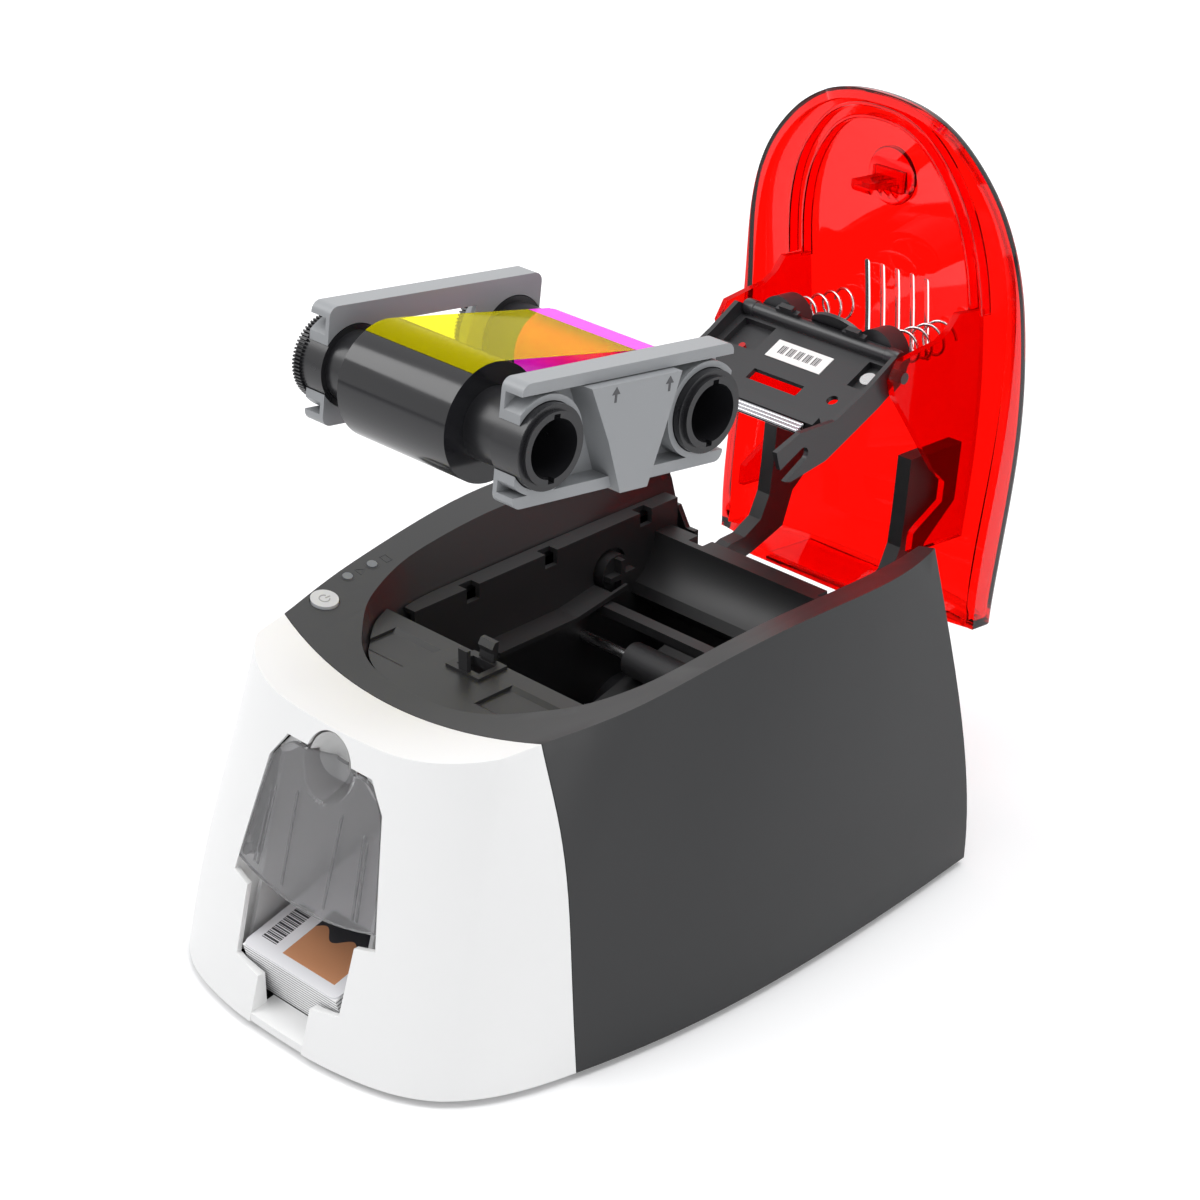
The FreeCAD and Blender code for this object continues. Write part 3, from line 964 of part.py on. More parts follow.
sink_base = block("sink_base", (-s.print_half, s.print_half + s.sink_fin), (s.sink_start, s.sink_end),
                  (s.head_plate, s.head_plate + s.sink_fin))
node(fuse("sink_body", sink_base, *fins), "heat_sink", "head")
node(rod("head_bar", "x", (-s.head_half, -s.bar_over, -s.bar_rise), s.bar_radius, s.head_half * 2),
     "head_bar", "head")
node(block("head_label", (-s.label_half, s.label_half), (s.label_start, s.label_end), (-s.label_thick, 0)),
     "head_label", "head")
node(rod("head_screw", "z", (s.screw_x, s.screw_u, s.pocket_deep - s.screw_tall), s.screw_head, s.screw_tall),
     "head_screw", "head")
node(rod("head_boss", "z", (-s.head_hole_x, s.pocket_long, s.pocket_deep - s.boss_tall), s.boss_radius / 2,
         s.boss_tall), "head_boss", "head")
pins = pair("pivot_pins_pair", rod("pivot_pin", "x", (s.head_half + s.head_arm_wall, pivot_u, pivot_v),
                                   s.pivot_radius, s.ear_in + s.ear_wall - s.head_half - s.head_arm_wall +
                                   s.bore_gap * 4))
node(pins, "head_pivot_pins", "head")
cup_floor = s.head_z + s.bar_over * head_sin - s.bar_rise * head_cos + s.bar_radius + s.print_gap
cup = cut("cup_bored",
          rod("cup_out", "z", (s.spring_x, s.spring_y, cup_floor), s.spring_cup + s.spring_cup_wall,
              s.spring_low - cup_floor),
          rod("cup_in", "z", (s.spring_x, s.spring_y, spring_low - s.spring_rest - s.spring_wire / 2), s.spring_cup,
              s.spring_low))
node(pair("cups_pair", cup), "spring_cups", "lid")

# ---- ribbon cassette: two end flanges, supply and take-up cores with their film, the web between them


def flange_body(label):
    shell_box = rounded(label + "_round", block(label + "_block", (s.flange_web - s.flange_wall, s.flange_face),
                                                (-s.flange_half, s.flange_half),
                                                (-s.flange_bottom, s.flange_top)), s.flange_corner,
                        lambda e: along(e, X_AXIS))
    hollow = block(label + "_hollow", (s.flange_web, s.flange_face + over), (-s.flange_half - over,
                                                                             s.flange_half + over),
                   (-s.flange_bottom + s.flange_rim, s.flange_top - s.flange_rim))
    rings = [rod("%s_ring_%d" % (label, i), "x", (s.flange_web - s.flange_wall, u, 0), s.holder_radius,
                 s.flange_face - s.flange_web + s.flange_wall) for i, u in enumerate((-s.core_reach, s.core_reach))]
    bounds = block(label + "_bounds", (s.flange_web - s.flange_wall, s.flange_face),
                   (-s.flange_half, s.flange_half), (-s.flange_bottom, s.flange_top))
    bores = [rod("%s_bore_%d" % (label, i), "x", (s.flange_web - over, u, 0), s.core_collar + s.core_seat,
                 s.flange_face) for i, u in enumerate((-s.core_reach, s.core_reach))]
    return cut(label + "_open", shell_box, hollow), common(label + "_rings", bounds,
                                                           fuse(label + "_ring_pair", *rings)), bores


near_open, near_rings, near_bores = flange_body("near")
near_boss = prism("near_boss", "YZ", [
    (-s.boss_in, s.boss_top), (s.boss_right, s.boss_top), (s.boss_right * 0.73, -(s.boss_low * 0.13)),
    (s.boss_right * 0.45, -s.boss_low), (-(s.boss_in * 0.17), -s.boss_low), (-(s.boss_in * 0.54), -(s.boss_low * 0.09))],
    s.flange_web, s.boss_face - s.flange_web)
node(cut("near_bored", fuse("near_body", near_open, near_rings, near_boss), *near_bores), "cassette_flange_near",
     "cassette")
far_open, far_rings, far_bores = flange_body("far")
far_window = prism("far_window", "YZ", [
    (-s.far_window_half, s.far_window_top), (s.far_window_half, s.far_window_top),
    (s.far_window_half * 0.7, -s.far_window_low), (-(s.far_window_half * 0.6), -s.far_window_low)],
    s.flange_web - over, over * 3)
node(mirror("far_mirrored", cut("far_bored", fuse("far_body", far_open, far_rings), far_window, *far_bores)),
     "cassette_flange_far", "cassette")


def core(label, place, film_radius):
    tube = rod(label + "_tube", "x", (-s.core_half, place, 0), s.core_radius, s.core_half * 2)
    collar_x = s.flange_web - s.flange_wall - s.core_seat
    collars = both(label + "_collars", rod(label + "_collar", "x", (collar_x, place, 0), s.core_collar,
                                           s.flange_face + s.core_collar_wide - collar_x))
    bore = rod(label + "_bore", "x", (-s.core_half - over, place, 0), s.core_bore, (s.core_half + over) * 2)
    key = block(label + "_key", (s.core_half - s.core_collar_wide, s.core_half + over),
                (place - s.core_key_wide / 2, place + s.core_key_wide / 2),
                (-s.core_bore - s.core_key, s.core_bore + s.core_key))
    film = cut(label + "_film", rod(label + "_roll", "x", (-s.film_half, place, 0), film_radius, s.film_half * 2),
               rod(label + "_roll_in", "x", (-s.film_half - over, place, 0), s.core_radius,
                   (s.film_half + over) * 2))
    body = cut(label + "_core_bored", fuse(label + "_core_body", tube, collars), bore,
               both(label + "_keys", key))
    return body, film


supply_core, supply_film = core("supply", -s.core_reach, s.supply_radius)
takeup_core, takeup_film = core("takeup", s.core_reach, s.takeup_radius)
node(supply_core, "supply_core", "cassette")
node(supply_film, "supply_film", "cassette")
node(takeup_core, "takeup_core", "cassette")
node(takeup_film, "takeup_film", "cassette")
node(prism("web", "YZ", [
    (-s.core_reach, s.supply_radius + s.film_gap), (s.core_reach, s.takeup_radius + s.film_gap),
    (s.core_reach, s.takeup_radius + s.film_gap + s.film_thick),
    (-s.core_reach, s.supply_radius + s.film_gap + s.film_thick)], -s.film_half, s.film_half * 2),
    "film_web", "cassette")

# ---- circuit board beside the right frame, power inlet and data port in the rear
node(block("board", (s.board_x, s.board_x + s.board_thick), (s.board_front, s.board_rear),
           (s.board_low, s.board_top)), "circuit_board")
standoffs = [rod("standoff_%d%d" % (i, j), "x", (s.frame_half + s.frame_wall, y, z), s.standoff_radius,
                 s.board_x - s.frame_half - s.frame_wall)
             for i, y in enumerate((s.board_front + s.standoff_radius * 2, s.board_rear - s.standoff_radius * 2))
             for j, z in enumerate((s.board_low + s.standoff_radius * 2, s.board_top - s.standoff_radius * 2))]
node(together("standoffs", *standoffs), "board_standoffs")
inlet_body = block("inlet_body", (s.inlet_x - s.inlet_half + s.bore_gap * 2, s.inlet_x + s.inlet_half - s.bore_gap * 2),
                   (s.shell_rear - s.inlet_deep, s.shell_rear),
                   (s.inlet_z - s.inlet_half + s.bore_gap * 2, s.inlet_z + s.inlet_half - s.bore_gap * 2))
inlet_hole = rod("inlet_hole", "y", (s.inlet_x, s.shell_rear - s.inlet_deep + s.inlet_pin * 2, s.inlet_z),
                 s.inlet_radius, s.inlet_deep + over)
inlet_pin = rod("inlet_pin", "y", (s.inlet_x, s.shell_rear - s.inlet_deep + s.inlet_pin, s.inlet_z), s.inlet_pin,
                s.inlet_deep - s.inlet_pin * 2)
node(fuse("inlet_pinned", cut("inlet_bored", inlet_body, inlet_hole), inlet_pin), "power_inlet")
port_body = block("port_body", (s.port_x - s.port_half + s.bore_gap * 2, s.port_x + s.port_half - s.bore_gap * 2),
                  (s.shell_rear - s.port_deep, s.shell_rear),
                  (s.port_low + s.bore_gap * 2, s.port_low + s.port_tall - s.bore_gap * 2))
port_hole = block("port_hole", (s.port_x - s.port_half + s.port_wall, s.port_x + s.port_half - s.port_wall),
                  (s.shell_rear - s.port_deep + s.port_wall, s.shell_rear + over),
                  (s.port_low + s.port_wall, s.port_low + s.port_tall - s.port_wall))
tongue = block("port_tongue", (s.port_x - s.port_tongue, s.port_x + s.port_tongue),
               (s.shell_rear - s.port_deep, s.shell_rear - s.port_wall),
               (s.port_low + s.port_tall / 2 - s.port_tongue / 2, s.port_low + s.port_tall / 2 + s.port_tongue / 2))
node(fuse("port_tongued", cut("port_bored", port_body, port_hole), tongue), "data_port")

# ---- check every object, then write one file for each piece
doc.recompute()
failed = [item.Name for item in doc.Objects if "Invalid" in item.State or "Error" in item.State]
for item in NODES:
    shape = item.Shape
    if shape.isNull() or not shape.isValid() or not shape.Solids:
        failed.append(item.Label)
if failed:
    raise RuntimeError("pieces that did not build: " + ", ".join(failed))
os.makedirs("parts", exist_ok=True)
for item in NODES:
    item.Shape.exportStep(os.path.join("parts", item.Label + ".step"))
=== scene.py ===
# %% [markdown]
# # A desktop card printer with its lid open
#
# The real object is a small office printer: a tapered two-part shell, a red
# see-through lid that carries the print head, a flap over the card hopper and
# a ribbon cassette held above its bay. The sizes all come from the CAD frame,
# so this lesson only dresses that frame: it loads it, lights it, gives each
# part its finish and adds the small forms that a mesh tool makes best.

# %% Load the frame and keep its box
import json
import math

import bmesh
import bpy
import numpy as np
from mathutils import Matrix, Vector, geometry
from mathutils.bvhtree import BVHTree


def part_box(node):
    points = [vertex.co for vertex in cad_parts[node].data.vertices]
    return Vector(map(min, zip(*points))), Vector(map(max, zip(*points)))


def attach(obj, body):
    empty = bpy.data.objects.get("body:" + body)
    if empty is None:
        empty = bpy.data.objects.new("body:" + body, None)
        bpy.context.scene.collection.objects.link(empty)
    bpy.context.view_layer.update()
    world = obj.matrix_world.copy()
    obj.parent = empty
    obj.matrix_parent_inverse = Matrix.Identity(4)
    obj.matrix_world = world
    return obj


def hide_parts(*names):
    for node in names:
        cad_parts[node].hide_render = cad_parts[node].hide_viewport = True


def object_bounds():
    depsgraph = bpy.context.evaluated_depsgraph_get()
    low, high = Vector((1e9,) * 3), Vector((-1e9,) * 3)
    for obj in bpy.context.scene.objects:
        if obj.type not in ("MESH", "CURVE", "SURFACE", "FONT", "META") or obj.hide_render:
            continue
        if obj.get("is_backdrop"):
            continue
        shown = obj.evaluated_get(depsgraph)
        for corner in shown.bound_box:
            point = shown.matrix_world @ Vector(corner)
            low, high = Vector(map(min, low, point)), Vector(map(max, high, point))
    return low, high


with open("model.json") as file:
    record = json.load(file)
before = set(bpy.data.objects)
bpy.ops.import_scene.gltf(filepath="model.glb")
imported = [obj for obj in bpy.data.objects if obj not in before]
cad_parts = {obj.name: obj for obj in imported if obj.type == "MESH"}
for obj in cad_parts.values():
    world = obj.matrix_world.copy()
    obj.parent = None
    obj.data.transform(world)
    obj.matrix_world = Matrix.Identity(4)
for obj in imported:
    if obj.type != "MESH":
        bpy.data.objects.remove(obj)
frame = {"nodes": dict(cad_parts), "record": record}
cad_low, cad_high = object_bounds()
slot_of = {row["node"]: row["material_slot"] for row in frame["record"]["subparts"]}
MM = 0.001
print("frame:", len(frame["nodes"]), "nodes, box", [round(v, 4) for v in cad_high - cad_low])

# %% [markdown]
# ## Camera
#
# A picture taken from over a metre away with a long lens shows little
# perspective. The camera here stands where the lines of the shell and of the
# cassette meet their true directions: to the front right, 27 degrees up.

# %% Camera
CAMERA_PLACE, SENSOR, LENS = (0.7421, -0.7047, 0.6645), 36, 90
CAMERA_TURN, CAMERA_RISE = math.radians(45), math.radians(27.2)


def new_object(name, data):
    """An object in the scene for a mesh, a lamp or a camera."""
    made = bpy.data.objects.new(name, data)
    bpy.context.scene.collection.objects.link(made)
    return made


def aimed(name, data, spot, way):
    """A camera or a lamp that stands at a spot and looks along a way."""
    made = new_object(name, data)
    made.location = spot
    made.rotation_mode = "QUATERNION"
    made.rotation_quaternion = way.to_track_quat("-Z", "Y")
    return made


camera_data = bpy.data.cameras.new("camera")
camera_data.sensor_width, camera_data.lens = SENSOR, LENS
camera_back = Vector((math.sin(CAMERA_TURN) * math.cos(CAMERA_RISE),
                      -math.cos(CAMERA_TURN) * math.cos(CAMERA_RISE), math.sin(CAMERA_RISE)))
bpy.context.scene.camera = aimed("camera", camera_data, CAMERA_PLACE, -camera_back)
bpy.context.scene.view_settings.view_transform = "Standard"
print("camera at", CAMERA_PLACE)

# %% [markdown]
# ## World and floor
#
# Product pictures stand on white. The world looks white to the camera, in
# gloss and through the lid, but it lights the part at a plain level, so a
# colour shows about as it is written. The floor is a light grey that keeps
# its soft shadow near the part, and is lifted to white further away.

# %% World
WHITE, WORLD_TINT, WORLD_LEVEL = (1, 1, 1, 1), (0.95, 0.96, 1.0, 1), 0.42


def seen_by(nodes, links, kinds):
    """One for the given kinds of ray, zero for all others."""
    rays = nodes.new("ShaderNodeLightPath")
    mask = rays.outputs[kinds[0]]
    for kind in kinds[1:]:
        add = nodes.new("ShaderNodeMath")
        add.operation, add.use_clamp = "ADD", True
        links.new(mask, add.inputs[0])
        links.new(rays.outputs[kind], add.inputs[1])
        mask = add.outputs[0]
    return mask


world = bpy.data.worlds.new("studio")
bpy.context.scene.world = world
world.use_nodes = True
nodes, links = world.node_tree.nodes, world.node_tree.links
backdrop, glow = nodes["Background"], nodes.new("ShaderNodeBackground")
backdrop.inputs["Color"].default_value = WORLD_TINT
backdrop.inputs["Strength"].default_value = WORLD_LEVEL
glow.inputs["Color"].default_value = WHITE
mix = nodes.new("ShaderNodeMixShader")
links.new(seen_by(nodes, links, ("Is Camera Ray", "Is Glossy Ray", "Is Transmission Ray")),
          mix.inputs[0])
links.new(backdrop.outputs[0], mix.inputs[1])
links.new(glow.outputs[0], mix.inputs[2])
links.new(mix.outputs[0], nodes["World Output"].inputs["Surface"])
print("world level:", WORLD_LEVEL)

# %% Floor
FLOOR_HALF, FLOOR_GREY, FLOOR_DULL = 6.0, 0.9, 0.9
LIFT_NEAR, LIFT_FAR, NEAR, FAR = 0.16, 1.0, 0.55, 2.2


def new_material(name):
    """An empty material with its nodes, its links and its shader."""
    made = bpy.data.materials.new(name)
    made.use_nodes = True
    return made, made.node_tree.nodes, made.node_tree.links, made.node_tree.nodes["Principled BSDF"]


floor_mesh = bpy.data.meshes.new("floor")
corners = [(x * FLOOR_HALF, y * FLOOR_HALF, 0) for x, y in ((-1, -1), (1, -1), (1, 1), (-1, 1))]
floor_mesh.from_pydata(corners, [], [(0, 1, 2, 3)])
floor = new_object("floor", floor_mesh)
floor_paint, nodes, links, shader = new_material("floor_paint")
shader.inputs["Base Color"].default_value = (FLOOR_GREY, FLOOR_GREY, FLOOR_GREY, 1)
shader.inputs["Roughness"].default_value = FLOOR_DULL
shader.inputs["Emission Color"].default_value = WHITE
distance, fade = nodes.new("ShaderNodeVectorMath"), nodes.new("ShaderNodeMapRange")
distance.operation = "LENGTH"
for title, value in (("From Min", NEAR), ("From Max", FAR), ("To Min", LIFT_NEAR),
                     ("To Max", LIFT_FAR)):
    fade.inputs[title].default_value = value
lift = nodes.new("ShaderNodeMath")
lift.operation = "MULTIPLY"
links.new(nodes.new("ShaderNodeTexCoord").outputs["Object"], distance.inputs[0])
links.new(distance.outputs["Value"], fade.inputs["Value"])
links.new(seen_by(nodes, links, ("Is Camera Ray", "Is Transmission Ray")), lift.inputs[0])
links.new(fade.outputs["Result"], lift.inputs[1])
links.new(lift.outputs[0], shader.inputs["Emission Strength"])
floor_mesh.materials.append(floor_paint)
floor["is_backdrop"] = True
print("floor lift:", LIFT_NEAR, "to", LIFT_FAR)

# %% [markdown]
# ## Lamps
#
# Soft light comes from large panels. The top panel gives most of it, the key
# panel on the left models the front, and a weak side panel opens the shadows.

# %% Lamps
LAMPS = {  # place, aim, width in metres, power in watts
    "key_panel": ((-1.3, -1.2, 1.9), (0, 0, 0.12), 1.5, 26.0),
    "top_panel": ((0.2, 0.5, 2.2), (0, 0, 0.1), 1.8, 34.0),
    "side_panel": ((2.2, -0.4, 0.9), (0, 0, 0.12), 1.4, 9.0),
}
for name, (spot, aim, width, power) in LAMPS.items():
    data = bpy.data.lights.new(name, "AREA")
    data.shape, data.size, data.energy = "SQUARE", width, power
    aimed(name, data, spot, Vector(aim) - Vector(spot))
print("lamps:", len(LAMPS))

# %% [markdown]
# ## Effects that several finishes share
#
# Moulded plastic is never quite smooth: the tool leaves a fine grain, and
# hands leave slightly duller patches. Both effects are node groups that put
# out a height and a roughness, so each finish can use its own strength.

# %% Grain and brushing groups
PATCHES_PER_METRE, BRUSH_PER_METRE, BRUSH_STRETCH, BRUSH_DULL = 28.0, 900.0, (0.03, 1.0, 1.0), 0.15
NUMBER, VECTOR = "NodeSocketFloat", "NodeSocketVector"


def group(name, given):
    """A shader group that puts out Height and Roughness, with its two ends."""
    tree = bpy.data.node_groups.new(name, "ShaderNodeTree")
    tree.interface.new_socket("Where", in_out="INPUT", socket_type=VECTOR)
    for title, value in given:
        tree.interface.new_socket(title, in_out="INPUT", socket_type=NUMBER).default_value = value
    for title in ("Height", "Roughness"):
        tree.interface.new_socket(title, in_out="OUTPUT", socket_type=NUMBER)
    return tree, tree.nodes.new("NodeGroupInput").outputs, tree.nodes.new("NodeGroupOutput").inputs


def feed(tree, value, socket):
    """Gives a socket a plain number or a link."""
    if isinstance(value, (int, float)):
        socket.default_value = value
    else:
        tree.links.new(value, socket)


def maths(tree, operation, first, second, clamp=False):
    """A math node between two sockets or plain numbers."""
    node = tree.nodes.new("ShaderNodeMath")
    node.operation, node.use_clamp = operation, clamp
    feed(tree, first, node.inputs[0])
    feed(tree, second, node.inputs[1])
    return node.outputs[0]


def noise(tree, where, scale, detail=2.0, stretch=None):
    """Noise at a scale in cells per metre, stretched along an axis for brushed metal."""
    if stretch:
        mapping = tree.nodes.new("ShaderNodeMapping")
        mapping.inputs["Scale"].default_value = stretch
        tree.links.new(where, mapping.inputs["Vector"])
        where = mapping.outputs[0]
    node = tree.nodes.new("ShaderNodeTexNoise")
    node.inputs["Detail"].default_value = detail
    tree.links.new(where, node.inputs["Vector"])
    feed(tree, scale, node.inputs["Scale"])
    return node.outputs["Fac"]


grain, given, result = group("moulded_grain", (("Grain", 2200.0), ("Dullness", 0.35),
                                               ("Patches", 0.08)))
patch = maths(grain, "SUBTRACT", noise(grain, given["Where"], PATCHES_PER_METRE), 0.5)
patch = maths(grain, "MULTIPLY", patch, given["Patches"])
grain.links.new(maths(grain, "ADD", given["Dullness"], patch, True), result["Roughness"])
grain.links.new(noise(grain, given["Where"], given["Grain"], 3.0), result["Height"])

brushing, given, result = group("brushing", (("Dullness", 0.3),))
lines = noise(brushing, given["Where"], BRUSH_PER_METRE, 2.0, BRUSH_STRETCH)
streak = maths(brushing, "MULTIPLY", lines, BRUSH_DULL)
brushing.links.new(lines, result["Height"])
brushing.links.new(maths(brushing, "ADD", given["Dullness"], streak, True), result["Roughness"])
print("groups:", grain.name, brushing.name)

# %% [markdown]
# ## Finishes
#
# Each finish is one material with a plain shader whose roughness and bump
# come from the shared effects. The clear red and smoke plastics let light
# through, so their colour is the colour of the light that has passed them.

# %% Plastics, rubber and metals
BUMP_REACH = 0.1 * MM


def finish(name, colour, dull, grain_size=2200.0, bump=0.04, patches=0.08, metal=False, **plain):
    """A material on Object coordinates: moulded grain, or brushing for a metal."""
    made, nodes, links, shader = new_material(name)
    shader.inputs["Base Color"].default_value = (*colour, 1)
    effect = nodes.new("ShaderNodeGroup")
    effect.node_tree = brushing if metal else grain
    links.new(nodes.new("ShaderNodeTexCoord").outputs["Object"], effect.inputs["Where"])
    effect.inputs["Dullness"].default_value = dull
    if metal:
        shader.inputs["Metallic"].default_value = 1.0
    else:
        effect.inputs["Grain"].default_value = grain_size
        effect.inputs["Patches"].default_value = patches
    links.new(effect.outputs["Roughness"], shader.inputs["Roughness"])
    rise = nodes.new("ShaderNodeBump")
    rise.inputs["Strength"].default_value = bump
    rise.inputs["Distance"].default_value = BUMP_REACH
    links.new(effect.outputs["Height"], rise.inputs["Height"])
    links.new(rise.outputs[0], shader.inputs["Normal"])
    for title, value in plain.items():
        shader.inputs[title].default_value = value
    return made


THROUGH, INDEX, GLOSS = "Transmission Weight", "IOR", "Specular IOR Level"
PLASTICS = {  # colour, dullness, grain in cells per metre, bump
    "shell_white": ((0.90, 0.90, 0.89), 0.32, 1800, 0.03),
    "shell_grey": ((0.017, 0.0175, 0.0185), 0.38, 1500, 0.08),
    "black_plastic": ((0.016, 0.016, 0.017), 0.45, 1800, 0.10),
    "liner_grey": ((0.62, 0.62, 0.62), 0.4, 1800, 0.05),
    "foot_rubber": ((0.02, 0.02, 0.02), 0.8, 900, 0.3),
    "card_white": ((0.86, 0.87, 0.88), 0.3, 900, 0.02),
    "card_print": ((0.8, 0.8, 0.82), 0.2, 900, 0.02),
    "roller_rubber": ((0.022, 0.022, 0.024), 0.6, 1500, 0.25),
    "gear_white": ((0.7, 0.7, 0.66), 0.4, 1500, 0.05),
    "button_grey": ((0.62, 0.63, 0.65), 0.22, 1800, 0.02),
    "head_black": ((0.022, 0.022, 0.024), 0.38, 1600, 0.12),
    "label_white": ((0.84, 0.84, 0.82), 0.5, 1500, 0.05),
    "boss_red": ((0.5, 0.004, 0.004), 0.2, 1500, 0.02),
    "flange_grey": ((0.30, 0.31, 0.32), 0.36, 1500, 0.08),
    "core_black": ((0.014, 0.014, 0.016), 0.28, 1500, 0.06),
    "film_black": ((0.012, 0.012, 0.014), 0.12, 300, 0.02),
    "board_green": ((0.01, 0.09, 0.04), 0.35, 900, 0.1),
    "bar_black": ((0.02, 0.02, 0.022), 0.3, 1600, 0.06),
    "bowl_white": ((0.78, 0.78, 0.77), 0.4, 1800, 0.03),
    "ink_black": ((0.015, 0.015, 0.02), 0.5, 1500, 0.0),
    "ink_tan": ((0.55, 0.25, 0.12), 0.3, 900, 0.0),
    "ink_dark": ((0.07, 0.07, 0.075), 0.5, 900, 0.0),
    "ink_grey": ((0.30, 0.31, 0.32), 0.4, 900, 0.0),
}
METALS = {  # colour, dullness, bump
    "steel": ((0.62, 0.62, 0.63), 0.18, 0.05),
    "motor_metal": ((0.12, 0.12, 0.13), 0.35, 0.05),
    "head_metal": ((0.66, 0.66, 0.68), 0.2, 0.08),
    "rod_chrome": ((0.42, 0.42, 0.44), 0.08, 0.02),
}
CLEAR = {  # colour, dullness, grain, patches, other inputs
    "lid_red": ((1.0, 0.004, 0.002), 0.03, 700, 0.02, {THROUGH: 1.0, INDEX: 1.42}),
    "ear_red": ((1, 0, 0), 0.05, 700, 0.02, {THROUGH: 0.95, INDEX: 1.12}),
    "cover_smoke": ((0.74, 0.75, 0.76), 0.14, 900, 0.04, {THROUGH: 0.86, INDEX: 1.35}),
    "lamp_lens": ((0.30, 0.32, 0.34), 0.15, 900, 0.08, {THROUGH: 0.4}),
    "film_magenta": ((0.95, 0.01, 0.78), 0.2, 300, 0.08, {GLOSS: 0.15}),
    "film_yellow": ((0.95, 0.87, 0.005), 0.06, 300, 0.08, {THROUGH: 0.86, INDEX: 1.05}),
}
FINISHES = {name: finish(name, *row) for name, row in PLASTICS.items()}
for name, (colour, dull, bump) in METALS.items():
    FINISHES[name] = finish(name, colour, dull, bump=bump, metal=True)
for name, (colour, dull, size, patches, more) in CLEAR.items():
    FINISHES[name] = finish(name, colour, dull, size, 0.0, patches, **more)

OTHER_FINISH = {"bay_deck": "shell_grey", "head_pivot_pins": "bar_black", "hinge_rod": "bar_black",
                "lid_ears": "ear_red", "lid_hook": "ear_red"}
for node, piece in frame["nodes"].items():
    piece.data.materials.clear()
    piece.data.materials.append(FINISHES[OTHER_FINISH.get(node, slot_of[node])])
print("finishes:", len(FINISHES))

# %% [markdown]
# ## Dark edges in the clear plastics
#
# Clear plastic looks darker where the eye looks along a wall, because the
# light has further to go. Layer Weight tells how far a face is turned away,
# and a mix darkens the colour there. The ears, which are thin, bend light less.

# %% Edge tint for the red and smoke plastics
TINTS = {  # seen straight on, seen at a flat angle, blend
    "lid_red": ((1.0, 0.004, 0.002), (0.22, 0.0, 0.0), 0.24),
    "cover_smoke": ((0.66, 0.66, 0.67), (0.26, 0.26, 0.27), 0.3),
    "ear_red": ((0.95, 0.006, 0.003), (0.30, 0.0, 0.0), 0.35),
}


def two_tone(name, first, second):
    """Mixes two colours in a finish; returns its nodes, its links and the factor."""
    nodes, links = FINISHES[name].node_tree.nodes, FINISHES[name].node_tree.links
    mix = nodes.new("ShaderNodeMix")
    mix.data_type = "RGBA"
    mix.inputs["A"].default_value, mix.inputs["B"].default_value = (*first, 1), (*second, 1)
    links.new(mix.outputs["Result"], nodes["Principled BSDF"].inputs["Base Color"])
    return nodes, links, mix.inputs["Factor"]


for name, (bright, dark, blend) in TINTS.items():
    nodes, links, factor = two_tone(name, bright, dark)
    facing = nodes.new("ShaderNodeLayerWeight")
    facing.inputs["Blend"].default_value = blend
    links.new(facing.outputs["Facing"], factor)
print("tinted:", ", ".join(TINTS))

# %% [markdown]
# ## Painted shade between the cards
#
# A stack of cards shows a fine dark line between each card and the next,
# where shade falls in the thin gap; here that shade is painted. The lines
# are a pattern across the pitch of the cards, so one material draws them
# on the whole stack. The pitch is two cards, which a picture can still
# show without a false pattern.

# %% Card lines of painted shade
# The dark colour is painted shade in the gaps between cards, not a colour of the cards.
CARD_LEAN, CARD_PITCH, GAP_SHADE_SHARE = math.radians(14.6), 1.54 * MM, 0.3
nodes, links, factor = two_tone("card_white", (0.88, 0.88, 0.88), (0.2, 0.2, 0.21))
tree = FINISHES["card_white"].node_tree
lean = nodes.new("ShaderNodeVectorMath")
lean.operation = "DOT_PRODUCT"
lean.inputs[1].default_value = (0, -math.sin(CARD_LEAN), math.cos(CARD_LEAN))
links.new(nodes.new("ShaderNodeTexCoord").outputs["Object"], lean.inputs[0])
level = maths(tree, "FRACT", maths(tree, "DIVIDE", lean.outputs["Value"], CARD_PITCH), 0.0)
links.new(maths(tree, "LESS_THAN", level, GAP_SHADE_SHARE), factor)
print("card lines every", CARD_PITCH / MM, "mm")

# %% [markdown]
# ## Helpers for the small forms
#
# Small forms are built point by point in a BMesh: boxes, rods, prisms and
# strips. One function turns a finished BMesh into a piece with its finish,
# its body and, where it stands for a CAD node, that node.

# %% Build helpers
MERGE = 1e-6


def loose_object(name, form):
    """A linked object made from the BMesh, which is used up."""
    mesh = bpy.data.meshes.new(name)
    form.to_mesh(mesh)
    form.free()
    return new_object(name, mesh)


def place(name, form, paint, body, stands_for=(), smooth=30, level=True):
    """Makes the BMesh a piece: faces outwards, smooth below an angle, riding on its body."""
    if level:
        bmesh.ops.recalc_face_normals(form, faces=form.faces)
    made = loose_object(name, form)
    made.data.materials.append(FINISHES[paint])
    made.data.shade_smooth()
    made.data.set_sharp_from_angle(angle=math.radians(smooth))
    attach(made, body)
    for node in stands_for:
        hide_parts(node)
    print(name, len(made.data.polygons), "faces")
    return made


def strip(form, rings, closed_path=False):
    """Joins rings of equally many points with quads."""
    rows = [[form.verts.new(point) for point in ring] for ring in rings]
    for first, second in zip(rows, rows[1:] + (rows[:1] if closed_path else [])):
        for i in range(len(first)):
            j = (i + 1) % len(first)
            form.faces.new((first[i], first[j], second[j], second[i]))
    return rows


def capped(form, rings):
    """A strip with a face on its first and on its last ring."""
    rows = strip(form, rings)
    form.faces.new(list(reversed(rows[0])))
    form.faces.new(rows[-1])


def rectangle(left, low, right, high):
    """The outline of a rectangle."""
    return [(left, low), (right, low), (right, high), (left, high)]


def box(form, low, high):
    """A box between two corners, in mm."""
    capped(form, [[Vector((x, y, z)) * MM for x, y in rectangle(*low[:2], *high[:2])]
                  for z in (low[2], high[2])])


def circle(sides):
    """The angles of a full circle in equal steps."""
    return [2 * math.pi * k / sides for k in range(sides)]


